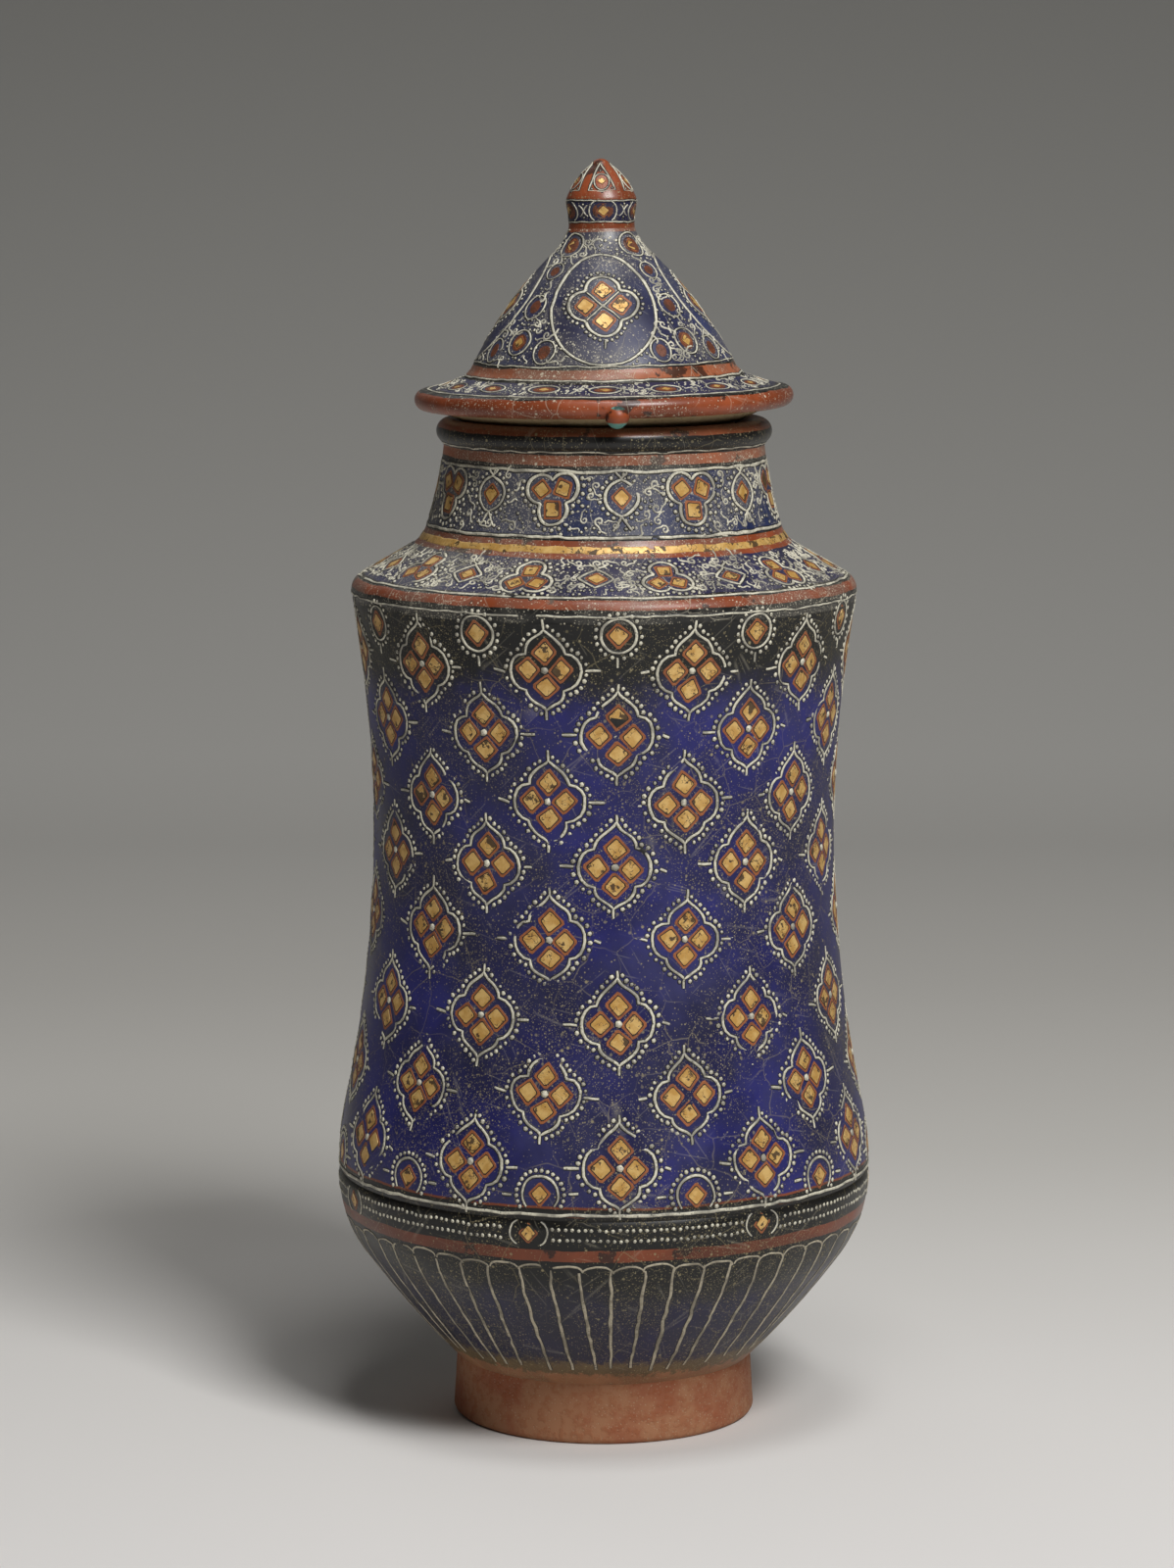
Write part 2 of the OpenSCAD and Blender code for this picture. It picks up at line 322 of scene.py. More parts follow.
sheet = [(SWEEP_NEAR, 0.0), (SWEEP_FAR, 0.0)]
sheet += [(p.x, p.y) for p in arc((SWEEP_FAR, SWEEP_BEND), SWEEP_BEND, -90, 0, 0.04)[1:]]
sheet.append((SWEEP_FAR + SWEEP_BEND, SWEEP_HIGH))
sides = [(x, y, z) for y, z in sheet for x in (-SWEEP_WIDE / 2, SWEEP_WIDE / 2)]
faces = [(2 * i, 2 * i + 1, 2 * i + 3, 2 * i + 2) for i in range(len(sheet) - 1)]
sweep_mesh = bpy.data.meshes.new("studio_sweep")
sweep_mesh.from_pydata(sides, [], faces)
sweep_mesh.shade_smooth()
sweep = bpy.data.objects.new("studio_sweep", sweep_mesh)
scene.collection.objects.link(sweep)

sweep_finish, wires = plain_material("sweep_paper")
place = wires.split(wires.node("ShaderNodeTexCoord").outputs["Object"])
far = wires.math("ADD", place[1], place[2])
# Painted shade: the paper is pale at the front and darker towards the back and up the wall, where the light
# falls off.
painted_falloff_stops = [(0.0, srgb(228, 225, 222)), (0.10, srgb(224, 221, 217)), (0.16, srgb(218, 215, 210)),
          (0.22, srgb(208, 205, 199)), (0.36, srgb(200, 197, 191)), (0.6, srgb(200, 198, 193)),
          (1.0, srgb(136, 135, 131))]
depth = wires.node("ShaderNodeMapRange", {0: far, 1: SHADE_FROM, 2: SHADE_TO}).outputs[0]
paper_with_painted_falloff = colour_stops(wires, depth, painted_falloff_stops)
shader = wires.node("ShaderNodeBsdfPrincipled", {"Base Color": paper_with_painted_falloff, "Roughness": 0.9})
seen = wires.node("ShaderNodeLightPath").outputs["Is Camera Ray"]
behind = wires.math("MULTIPLY", seen, wires.node("ShaderNodeNewGeometry").outputs["Backfacing"])
clear = wires.node("ShaderNodeBsdfTransparent").outputs[0]
one_sided = wires.node("ShaderNodeMixShader", {0: behind, 1: shader.outputs[0], 2: clear})
wires.node("ShaderNodeOutputMaterial", {0: one_sided.outputs[0]})
sweep_mesh.materials.append(sweep_finish)
print("sweep with", len(faces), "faces")


# %% Lamps and world
def soft_lamp(name, at, look_at, size, power):
    lamp = bpy.data.lights.new(name, "AREA")
    lamp.size = size
    lamp.energy = power
    holder = bpy.data.objects.new(name, lamp)
    holder.location = at
    holder.rotation_euler = (Vector(look_at) - Vector(at)).to_track_quat("-Z", "Y").to_euler()
    scene.collection.objects.link(holder)


JAR_MIDDLE = (0, 0, 0.18)
AIR, WALL_GREY = (0.035, 0.035, 0.035, 1), srgb(128, 127, 123)
soft_lamp("key_lamp", (0.66, -1.15, 1.55), JAR_MIDDLE, size=0.6, power=29.5)
soft_lamp("top_lamp", (0.1, -0.4, 1.75), JAR_MIDDLE, size=0.5, power=7)
soft_lamp("back_lamp", (-0.6, 1.2, 1.5), JAR_MIDDLE, size=0.9, power=1.5)
world = bpy.data.worlds.new("studio_air")
world.use_nodes = True
world.node_tree.nodes.clear()
wires = Wires(world.node_tree)
air = wires.node("ShaderNodeBackground", {0: AIR})
wall = wires.node("ShaderNodeBackground", {0: WALL_GREY})
seen = wires.node("ShaderNodeLightPath").outputs["Is Camera Ray"]
both = wires.node("ShaderNodeMixShader", {0: seen, 1: air.outputs[0], 2: wall.outputs[0]})
wires.node("ShaderNodeOutputWorld", {0: both.outputs[0]})
scene.world = world

# %% [markdown]
# ## Wear and age, shared by the finishes
# The glaze is centuries old: fine crazing, pale pits, scratches and rubbed spots cover it. Several finishes
# need the same marks at different strengths, so each kind of mark is one shader node group with named
# inputs, and each puts out a mask only. The finishes then decide what the mask does to their colour.


# %% Shader groups for crazing, pits, clouds and scratches
def mark_tree(name, inputs, outputs=("Mask",)):
    """A shader group that reads a place on the glaze and puts out masks."""
    inputs = [("Vector", VECTOR, None)] + inputs
    return new_tree(name, "ShaderNodeTree", inputs, [(label, FLOAT) for label in outputs])


def cell_lines(tree, vector, scale, width):
    """Thin lines between flat cells: 1 on the line, and 0 from a width away."""
    edges = tree.node("ShaderNodeTexVoronoi", {"Vector": vector, "Scale": scale},
                      feature="DISTANCE_TO_EDGE", voronoi_dimensions="2D").outputs["Distance"]
    return tree.math("SUBTRACT", 1.0, tree.math("DIVIDE", edges, width), clamp=True)


def craze_group():
    tree, given, out = mark_tree("crazing", [("Cells", FLOAT, 100.0), ("Width", FLOAT, 0.03)])
    bent = tree.noise(given["Vector"], 90.0, 2.0)["Color"]
    push = tree.node("ShaderNodeVectorMath", {0: bent, "Scale": 0.006}, operation="SCALE").outputs[0]
    line = cell_lines(tree, tree.add(given["Vector"], push), given["Cells"], given["Width"])
    here = tree.ramp(tree.noise(given["Vector"], 45.0, 3.0)["Fac"], 0.42, 0.62)
    tree.link(tree.math("MULTIPLY", line, here), out["Mask"])
    return tree.tree


def pit_group():
    tree, given, out = mark_tree(
        "pits", [("Cells", FLOAT, 900.0), ("Amount", FLOAT, 0.3)], ("Mask", "Crowd"))
    cells = tree.node("ShaderNodeTexVoronoi", {"Vector": given["Vector"], "Scale": given["Cells"]})
    chance = tree.split(cells.outputs["Color"])
    dot = tree.ramp(cells.outputs["Distance"], 0.16, 0.34, 1.0, 0.0)
    crowd = tree.ramp(tree.noise(given["Vector"], 34.0, 5.0, 0.62)["Fac"], 0.37, 0.62)
    limit = tree.math("MULTIPLY", given["Amount"], tree.math("MULTIPLY_ADD", crowd, 0.9, 0.1))
    shown = tree.math("LESS_THAN", chance[0], limit)
    strength = tree.math("MULTIPLY_ADD", chance[1], 0.7, 0.3)
    mask = tree.math("MULTIPLY", tree.math("MULTIPLY", dot, shown), strength)
    tree.link(mask, out["Mask"])
    tree.link(crowd, out["Crowd"])
    return tree.tree


def cloud_group():
    tree, given, out = mark_tree(
        "clouds", [("Size", FLOAT, 30.0), ("Low", FLOAT, 0.4), ("High", FLOAT, 0.6)])
    cloud = tree.noise(given["Vector"], given["Size"], 5.0, 0.6)["Fac"]
    tree.link(tree.ramp(cloud, given["Low"], given["High"]), out["Mask"])
    return tree.tree


def scratch_group():
    tree, given, out = mark_tree(
        "scratches", [("Turn", VECTOR, (0.0, 0.0, 0.6)), ("Amount", FLOAT, 0.5)])
    feeds = {"Vector": given["Vector"], "Rotation": given["Turn"], "Scale": (1.0, 24.0, 1.0)}
    drawn = tree.node("ShaderNodeMapping", feeds, vector_type="TEXTURE").outputs[0]
    line = cell_lines(tree, drawn, 150.0, 0.03)
    spot = tree.add(given["Vector"], given["Turn"])
    here = tree.ramp(tree.noise(spot, 80.0, 3.0)["Fac"], 0.54, 0.64)
    tree.link(tree.math("MULTIPLY", tree.math("MULTIPLY", line, here), given["Amount"]), out["Mask"])
    return tree.tree


CRAZING, PITS, CLOUDS, SCRATCHES = craze_group(), pit_group(), cloud_group(), scratch_group()


def marks_of(wires, group, vector, **values):
    """Places a shared group in a material and gives back its outputs."""
    feeds = {label.capitalize(): value for label, value in values.items()}
    return wires.node("ShaderNodeGroup", {"Vector": vector, **feeds}, node_tree=group).outputs


def mask_of(wires, group, vector, **values):
    return marks_of(wires, group, vector, **values)["Mask"]


def mixed(wires, factor, below, above, blend="MIX"):
    """One colour over another by a mask."""
    feeds = {0: factor, 6: below, 7: above}
    return wires.node("ShaderNodeMix", feeds, data_type="RGBA", blend_type=blend).outputs[2]


print("shared marks:", [g.name for g in (CRAZING, PITS, CLOUDS, SCRATCHES)])

# %% [markdown]
# ## The banded glaze
# Each section wears bands of colour that run round it: cobalt, a smoky black where the kiln starved the
# glaze of air, and brick red enamel. The height decides the colour, and a little noise on the height makes
# the edges of the bands uneven, as a brush on a turning wheel leaves them. The lid leans on its seat, so
# its materials first turn the coordinates upright with a Mapping node.

# %% Colours of the painting
ULTRAMARINE, COBALT = srgb(36, 36, 108), srgb(46, 46, 86)
DEEP_COBALT, INDIGO, SLATE = srgb(36, 36, 76), srgb(40, 41, 70), srgb(54, 60, 94)
SMOKE, SOOT, TAR, OCHRE = srgb(42, 42, 40), srgb(23, 23, 22), srgb(22, 20, 18), srgb(112, 92, 62)
BRICK, PALE_BRICK, DULL_BRICK = srgb(144, 70, 38), srgb(158, 90, 58), srgb(108, 58, 34)
RIM_BROWN, BAND_RED, RUST = srgb(126, 70, 42), srgb(126, 64, 38), srgb(156, 92, 50)
CLAY, CLAY_RED, CLAY_PALE = srgb(166, 116, 82), srgb(150, 84, 54), srgb(182, 148, 118)
CREAM, ENAMEL_WHITE, ENAMEL_THIN = srgb(178, 158, 122), srgb(218, 213, 192), srgb(140, 136, 124)
GOLD, GOLD_PALE, LEAF_GONE = srgb(198, 152, 80), srgb(224, 186, 116), srgb(44, 28, 20)
# The drop's turquoise is its own colour at its foot and a painted glint on its top.
DUST, PALE_DUST, TURQUOISE_AND_GLINT = srgb(158, 146, 110), srgb(212, 204, 180), srgb(96, 150, 140)
GREY_HAZE, BUFF, BUFF_THIN = srgb(106, 103, 96), srgb(190, 180, 156), srgb(122, 115, 99)
CREAM_STAIN, CREAM_GRAIN = srgb(140, 116, 82), srgb(90, 72, 52)
UNROLL_R = 0.07


def upright(wires, leans):
    """Object coordinates, turned back upright on the leaning lid."""
    here = wires.node("ShaderNodeTexCoord").outputs["Object"]
    if not leans:
        return here
    back = Euler((0, math.radians(LID_LEAN), 0))
    feeds = {"Vector": here, "Location": -(back.to_matrix() @ lean_shift), "Rotation": back}
    return wires.node("ShaderNodeMapping", feeds).outputs[0]


def unrolled(wires, here):
    """The wall laid flat: the way round it in metres, and the height."""
    x, y, z = wires.split(here)
    turn = wires.math("ARCTAN2", x, wires.math("MULTIPLY", y, -1.0))
    return wires.vector(wires.math("MULTIPLY", turn, UNROLL_R), z, 0.0), z


def finished(wires, height, strength, depth, feeds):
    """The end of a finish: a bump from the height, and the shader with its feeds."""
    bump = wires.node("ShaderNodeBump", {"Height": height, "Strength": strength, "Distance": depth})
    shader = wires.node("ShaderNodeBsdfPrincipled", {**feeds, "Normal": bump.outputs[0]})
    wires.node("ShaderNodeOutputMaterial", {0: shader.outputs[0]})


# %% The glaze itself
SCRATCH_TURNS = (0.5, 1.3, 2.3)


def banded_glaze(name, ground, bands, fades=(), waver=0.9, leans=False, pits=0.7, chips=0.8,
                 dust=DUST, haze=SOOT, gloss=0.06):
    """A glaze whose colour changes with height.

    bands holds (height in mm where it starts, colour), with None where the ground shows. A fade of the
    ground is (height where it starts, height where it is full, colour, how far it wanders in mm).
    """
    made, wires = plain_material(name)
    here = upright(wires, leans)
    sheet, z = unrolled(wires, here)
    rich = mask_of(wires, CLOUDS, here, size=26.0, low=0.36, high=0.64)
    colour = mixed(wires, rich, *ground)
    wander = wires.math("SUBTRACT", wires.noise(here, 17.0, 6.0, 0.66)["Fac"], 0.5)
    grit = wires.math("SUBTRACT", wires.noise(here, 420.0, 3.0, 0.7)["Fac"], 0.5)
    gritty = wires.math("MULTIPLY_ADD", grit, 7.0 * MM, z)
    for start, full, tint, reach in fades:
        level = wires.math("MULTIPLY_ADD", wander, 2 * reach * MM, gritty)
        colour = mixed(wires, wires.ramp(level, start * MM, full * MM), colour, tint)

    ripple = wires.math("SUBTRACT", wires.noise(here, 55.0, 4.0, 0.6)["Fac"], 0.5)
    height = wires.math("MULTIPLY_ADD", ripple, waver * 2 * MM, z)
    cobalt, covered = colour, 0.0
    for start, tint in bands:
        above = wires.math("GREATER_THAN", height, start * MM)
        colour = mixed(wires, above, colour, tint or cobalt)
        uncovered = wires.math("MULTIPLY", covered, wires.math("SUBTRACT", 1.0, above))
        covered = wires.math("MAXIMUM", covered, above) if tint else uncovered
    chipped = mask_of(wires, CLOUDS, here, size=85.0, low=0.6, high=0.63)
    chipped = wires.math("MULTIPLY", wires.math("MULTIPLY", chipped, covered), chips)
    colour = mixed(wires, chipped, colour, TAR)

    cloud = mask_of(wires, CLOUDS, here, size=40.0, low=0.35, high=0.68)
    colour = mixed(wires, 1.0, colour, wires.ramp(cloud, 0.0, 1.0, 0.8, 1.16), "MULTIPLY")
    fine = marks_of(wires, PITS, here, cells=1900.0, amount=pits)
    middling = marks_of(wires, PITS, here, cells=1050.0, amount=pits * 0.75)
    coarse = marks_of(wires, PITS, here, cells=560.0, amount=pits * 0.2)
    colour = mixed(wires, wires.math("MULTIPLY", fine["Crowd"], pits * 0.45), colour, haze)
    specks = wires.math("MAXIMUM", wires.math("MAXIMUM", fine["Mask"], middling["Mask"]), coarse["Mask"])
    colour = mixed(wires, wires.math("MULTIPLY", specks, 0.85), colour, dust)
    cracks = mask_of(wires, CRAZING, sheet, cells=95.0, width=0.022)
    colour = mixed(wires, wires.math("MULTIPLY", cracks, 0.4), colour, dust)
    marks = 0.0
    for turn in SCRATCH_TURNS:
        drawn = mask_of(wires, SCRATCHES, sheet, turn=(0.0, 0.0, turn), amount=0.14)
        marks = wires.math("MAXIMUM", drawn, marks)
    colour = mixed(wires, marks, colour, PALE_DUST)

    flaws = wires.math("MAXIMUM", specks, cracks)
    dull = wires.math("MULTIPLY_ADD", cloud, 0.16, 0.34)
    dull = wires.math("MULTIPLY_ADD", flaws, 0.3, dull)
    peel = wires.math("MULTIPLY", wires.noise(here, 260.0, 2.0)["Fac"], 0.3)
    relief = wires.math("SUBTRACT", peel, wires.math("MAXIMUM", flaws, marks))
    finished(wires, relief, 0.3, 0.0003, {
        "Base Color": colour, "Roughness": dull, "Specular IOR Level": 0.36, "Coat Weight": gloss,
        "Coat Roughness": 0.2})
    return made


# %% One glaze for each section
DARK_BLUE, GREY_BLUE = (INDIGO, DEEP_COBALT), (INDIGO, SLATE)
BOWL_BLUE = (srgb(32, 31, 51), srgb(30, 29, 66))
NECK_BLUE = (srgb(36, 46, 82), SLATE)
bowl_glaze = banded_glaze(
    "bowl_glaze", BOWL_BLUE,
    [(0, None), (62.4, TAR), (63.2, BAND_RED), (66.7, TAR), (67.4, SOOT), (74.2, TAR)],
    [(47, 57, SOOT, 9), (28.0, 24.8, OCHRE, 3), (22.4, 21.4, CLAY, 2.5)], pits=0.9)
drum_glaze = banded_glaze(
    "drum_glaze", (COBALT, ULTRAMARINE),
    [(70, TAR), (76.4, DULL_BRICK), (77.2, SOOT), (78.7, BAND_RED), (79.4, None), (247, TAR)],
    [(219, 233, SOOT, 16)], pits=0.85)
shoulder_glaze = banded_glaze(
    "shoulder_glaze", DARK_BLUE,
    [(240, SOOT), (249.6, TAR), (250.1, BRICK), (252.7, TAR), (253.8, None), (262.8, BRICK)],
    pits=1.0, dust=PALE_DUST, haze=GREY_HAZE, gloss=0.15)
neck_glaze = banded_glaze(
    "neck_glaze", NECK_BLUE,
    [(260, BRICK), (267.3, TAR), (268.0, None), (287.4, TAR), (288.7, PALE_BRICK), (291.6, TAR)],
    pits=1.0, dust=PALE_DUST, haze=GREY_HAZE)
rim_glaze = banded_glaze(
    "rim_glaze", DARK_BLUE, [(285, PALE_BRICK), (291.6, TAR), (296.9, RIM_BROWN)], pits=0.6, gloss=0.3)
brim_glaze = banded_glaze(
    "brim_glaze", DARK_BLUE, [(296, TAR), (301.6, BRICK), (307.2, TAR), (308.0, None), (311.0, TAR)],
    leans=True, pits=0.5, dust=PALE_DUST, gloss=0.3)
cone_glaze = banded_glaze(
    "cone_glaze", GREY_BLUE, [(308, TAR), (311.9, PALE_BRICK), (314.9, TAR), (315.5, None), (353.2, BRICK)],
    leans=True, pits=1.0, dust=PALE_DUST, haze=GREY_HAZE, gloss=0.15)
knob_glaze = banded_glaze(
    "knob_glaze", DARK_BLUE, [(350, BRICK), (356.2, None), (362.3, BRICK)],
    waver=0.5, leans=True, pits=0.5, gloss=0.3)
# The turquoise below 300.8 mm is the drop's own colour; the turquoise above 304.9 mm is a painted glint.
drop_glaze = banded_glaze(
    "drop_glaze", DARK_BLUE, [(290, TURQUOISE_AND_GLINT), (300.8, BRICK), (304.9, TURQUOISE_AND_GLINT)],
    waver=1.6, leans=True, pits=0.2)
print("banded glazes:", [m.name for m in bpy.data.materials if m.name.endswith("_glaze")])

# %% [markdown]
# ## Bare clay, cream glaze and enamels
# The foot was wiped clean so that it would not stick in the kiln: it shows pink-buff clay with rusty stains.
# The inside and the lid's seat have a thin cream glaze. White and red enamels and gold leaf lie on top of
# the cobalt, rubbed and chipped by use.


# %% One function for the finishes without bands
def worn_finish(name, colour, stain, grain, stain_share=0.5, grain_share=0.5, shine=0.4, cloud_size=60.0,
                spread=(0.48, 0.66), relief=0.3):
    """A colour with clouds of a second colour and fine grains of a third."""
    made, wires = plain_material(name)
    here = upright(wires, False)
    cloud = mask_of(wires, CLOUDS, here, size=cloud_size, low=spread[0], high=spread[1])
    fine = mask_of(wires, CLOUDS, here, size=cloud_size * 9, low=0.46, high=0.62)
    pits = mask_of(wires, PITS, here, cells=1100.0, amount=grain_share)
    look = mixed(wires, wires.math("MULTIPLY", cloud, stain_share), colour, stain)
    look = mixed(wires, wires.math("MULTIPLY", fine, stain_share * 0.45), look, stain)
    look = mixed(wires, wires.math("MULTIPLY", pits, 0.8), look, grain)
    dull = wires.math("MULTIPLY_ADD", fine, 0.2, shine)
    rough = wires.math("SUBTRACT", wires.math("MULTIPLY", fine, relief), pits)
    finished(wires, rough, 0.5, 0.0003, {"Base Color": look, "Roughness": dull})
    return made


RUBBED = (0.44, 0.6)
bare_clay = worn_finish("bare_clay", CLAY, CLAY_RED, CLAY_PALE, 0.8, 0.9, 0.75, 48.0, (0.46, 0.62), 0.8)
cream_glaze = worn_finish("cream_glaze", CREAM, CREAM_STAIN, CREAM_GRAIN, 0.5, 0.4, 0.35)
white_enamel = worn_finish(
    "white_enamel", ENAMEL_WHITE, ENAMEL_THIN, SMOKE, 0.85, 0.75, 0.45, 150.0, RUBBED)
buff_enamel = worn_finish("buff_enamel", BUFF, BUFF_THIN, SMOKE, 0.85, 0.75, 0.45, 110.0, RUBBED)
red_enamel = worn_finish("red_enamel", RUST, DULL_BRICK, TAR, 0.6, 0.4, 0.45, 220.0)
dull_enamel = worn_finish("dull_enamel", DULL_BRICK, SOOT, RUST, 0.6, 0.5, 0.5, 160.0)
dark_edging = worn_finish("dark_edging", TAR, SMOKE, INDIGO, 0.6, 0.3, 0.5)


# %% Gold leaf
def leaf_finish(name):
    """Thin leaf that has cracked, torn and here and there come off, so the dark size under it shows."""
    made, wires = plain_material(name)
    here = upright(wires, False)
    look = mixed(wires, mask_of(wires, CLOUDS, here, size=330.0, low=0.36, high=0.66), GOLD, GOLD_PALE)
    torn = mask_of(wires, CLOUDS, here, size=300.0, low=0.585, high=0.605)
    lost = mask_of(wires, CLOUDS, here, size=75.0, low=0.62, high=0.64)
    vein = wires.math("ABSOLUTE", wires.math("SUBTRACT", wires.noise(here, 420.0, 3.0)["Fac"], 0.5))
    vein = wires.math("MULTIPLY", wires.ramp(vein, 0.008, 0.02, 1.0, 0.0),
                      mask_of(wires, CLOUDS, here, size=140.0, low=0.45, high=0.56))
    bare = wires.math("MAXIMUM", wires.math("MAXIMUM", torn, lost), vein)
    look = mixed(wires, wires.math("MULTIPLY", bare, 0.9), look, LEAF_GONE)
    bright = wires.math("MULTIPLY_ADD", bare, -0.25, 0.25)
    dull = wires.math("MULTIPLY_ADD", bare, 0.2, 0.4)
    finished(wires, bare, 0.4, -0.0002, {"Base Color": look, "Metallic": bright, "Roughness": dull})
    return made


gold_leaf = leaf_finish("gold_leaf")
print(len(bpy.data.materials), "materials")

# %% [markdown]
# ## Throwing the sections
# A wheel-thrown wall is a line swept round an axis, but never a perfect one: the hand leaves the radius
# uneven by a fraction of a millimetre. The node group hand_thrown works out that unevenness from angle and
# height alone, so that neighbouring sections, and the painting on them, all follow the same wall. Near the
# mouth and the lid's seat it fades out, because there the two bodies must fit each other.


# %% Unevenness of the thrown wall
UNEVEN_BELOW, UNEVEN_ABOVE = (0.276, 0.287), (0.309, 0.322)


def hand_thrown_group():
    tree, given, out = new_tree(
        "hand_thrown", "GeometryNodeTree",
        [("Angle", FLOAT, 0.0), ("Height", FLOAT, 0.0), ("Amount", FLOAT, 0.0011)], [("Offset", FLOAT)])
    across = tree.math("MULTIPLY", tree.math("COSINE", given["Angle"]), 0.8)
    deep = tree.math("MULTIPLY", tree.math("SINE", given["Angle"]), 0.8)
    up = tree.math("MULTIPLY", given["Height"], 11.0)
    uneven = tree.noise(tree.vector(across, deep, up), 1.3, 1.0)["Fac"]
    offset = tree.math("MULTIPLY", tree.math("SUBTRACT", uneven, 0.5), given["Amount"])
    below = tree.ramp(given["Height"], *UNEVEN_BELOW, 1.0, 0.0)
    above = tree.ramp(given["Height"], *UNEVEN_ABOVE)
    tree.link(tree.math("MULTIPLY", offset, tree.math("ADD", below, above)), out["Offset"])
    return tree.tree


HAND_THROWN = hand_thrown_group()


def thrown_offset(tree, angle, height):
    feeds = {"Angle": angle, "Height": height}
    return tree.node("GeometryNodeGroup", feeds, node_tree=HAND_THROWN).outputs["Offset"]


# %% Steps that several geometry trees share
def named(tree, label):
    return tree.node("GeometryNodeInputNamedAttribute", {"Name": label}, data_type="FLOAT").outputs[0]


def stored(tree, geometry, label, value, kind="FLOAT", domain="FACE"):
    feeds = {"Geometry": geometry, "Name": label, "Value": value}
    return tree.node("GeometryNodeStoreNamedAttribute", feeds, data_type=kind, domain=domain).outputs[0]


def moved(tree, geometry, position):
    feeds = {"Geometry": geometry, "Position": position}
    return tree.node("GeometryNodeSetPosition", feeds).outputs[0]


def round_axis(tree, radius, angle, height):
    """The point at a radius and a height, at an angle from the front towards the right."""
    x = tree.math("MULTIPLY", radius, tree.math("SINE", angle))
    y = tree.math("MULTIPLY", radius, tree.math("MULTIPLY", tree.math("COSINE", angle), -1.0))
    return tree.vector(x, y, height)


def leaned(tree, geometry, given):
    feeds = {"Geometry": geometry, "Translation": given["Shift"], "Rotation": given["Lean"]}
    return tree.node("GeometryNodeTransform", feeds).outputs[0]


def two_finishes(tree, geometry, first, chosen, second):
    """The end of a tree: real geometry in one finish, and in another where chosen is true."""
    made = tree.node("GeometryNodeRealizeInstances", {0: geometry}).outputs[0]
    made = tree.node("GeometryNodeSetMaterial", {"Geometry": made, "Material": first}).outputs[0]
    feeds = {"Geometry": made, "Selection": chosen, "Material": second}
    return tree.node("GeometryNodeSetMaterial", feeds).outputs[0]


# %% The wheel
SHARP_BEND, CALM_R, WELD = 0.7, 0.02, 1e-6


def wheel_tree():
    """Sweeps a line of points (radius, 0, height) round the axis.

    A face whose points all have the attribute inside at 1 gets the inner finish.
    """
    tree, given, out = new_tree(
        "turn_on_wheel", "GeometryNodeTree",
        [("Line", GEOMETRY, None), ("Steps", "NodeSocketInt", 240), ("Outer", MATERIAL, None),
         ("Inner", MATERIAL, None), ("Lean", VECTOR, None), ("Shift", VECTOR, None)], [("Wall", GEOMETRY)])
    count = tree.node("GeometryNodeAttributeDomainSize", {0: given["Line"]}).outputs["Point Count"]
    columns = tree.math("ADD", given["Steps"], 1.0)
    sizes = {"Size X": 1.0, "Size Y": 1.0, "Vertices X": columns, "Vertices Y": count}
    grid = tree.node("GeometryNodeMeshGrid", sizes).outputs
    mapped = stored(tree, grid["Mesh"], "OFBake", grid["UV Map"], "FLOAT2", "CORNER")
    index = tree.node("GeometryNodeInputIndex").outputs[0]
    row = tree.node("FunctionNodeIntegerMath", {0: index, 1: count}, operation="MODULO").outputs[0]
    column = tree.node("FunctionNodeIntegerMath", {0: index, 1: count}, operation="DIVIDE_FLOOR").outputs[0]
    angle = tree.math("MULTIPLY", tree.math("DIVIDE", column, given["Steps"]), 2 * math.pi)

    def on_line(value, kind):
        feeds = {"Geometry": given["Line"], "Value": value, "Index": row}
        return tree.node("GeometryNodeSampleIndex", feeds, data_type=kind).outputs[0]

    place = tree.node("GeometryNodeInputPosition").outputs[0]
    radius, _, height = tree.split(on_line(place, "FLOAT_VECTOR"))
    uneven = tree.math("MULTIPLY", thrown_offset(tree, angle, height), tree.ramp(radius, 0.0, CALM_R))
    point = round_axis(tree, tree.math("ADD", radius, uneven), angle, height)
    marked = stored(tree, mapped, "inside", on_line(named(tree, "inside"), "FLOAT"), domain="POINT")
    turned = moved(tree, marked, point)

    closed = tree.node("GeometryNodeMergeByDistance", {"Geometry": turned, "Distance": WELD}).outputs[0]
    bare = tree.math("LESS_THAN", tree.node("GeometryNodeInputMeshEdgeNeighbors").outputs[0], 0.5)
    feeds = {"Geometry": closed, "Selection": bare}
    closed = tree.node("GeometryNodeDeleteGeometry", feeds, domain="EDGE").outputs[0]
    smooth = tree.node("GeometryNodeSetShadeSmooth", {0: closed, 2: True}).outputs[0]
    sharp = tree.math("GREATER_THAN", tree.node("GeometryNodeInputMeshEdgeAngle").outputs[0], SHARP_BEND)
    feeds = {0: smooth, 1: sharp, 2: False}
    smooth = tree.node("GeometryNodeSetShadeSmooth", feeds, domain="EDGE").outputs[0]
    within = tree.math("GREATER_THAN", named(tree, "inside"), 0.9)
    painted = two_finishes(tree, leaned(tree, smooth, given), given["Outer"], within, given["Inner"])
    tree.link(painted, out["Wall"])
    return tree.tree


WHEEL = wheel_tree()


# %% Running a tree and keeping the plain mesh
def made_by(tree, name, source, values):
    """Runs a tree on a mesh, and gives back an object that holds only the result."""
    holder = bpy.data.objects.new(name, source)
    scene.collection.objects.link(holder)
    modifier = holder.modifiers.new("make", "NODES")
    modifier.node_group = tree
    for item in tree.interface.items_tree:
        if item.in_out == "INPUT" and item.name in values:
            modifier[item.identifier] = values[item.name]
    graph = bpy.context.evaluated_depsgraph_get()
    plain = bpy.data.meshes.new_from_object(holder.evaluated_get(graph))
    holder.modifiers.remove(modifier)
    holder.data = plain
    plain.name = name
    return holder


def point_mesh(name, points, edges=(), **values):
    """Points and edges as a mesh, with an attribute on the points for each list of values."""
    made = bpy.data.meshes.new(name)
    made.from_pydata(points, edges, [])
    for label, column in values.items():
        made.attributes.new(label, "FLOAT", "POINT").data.foreach_set("value", column)
    return made


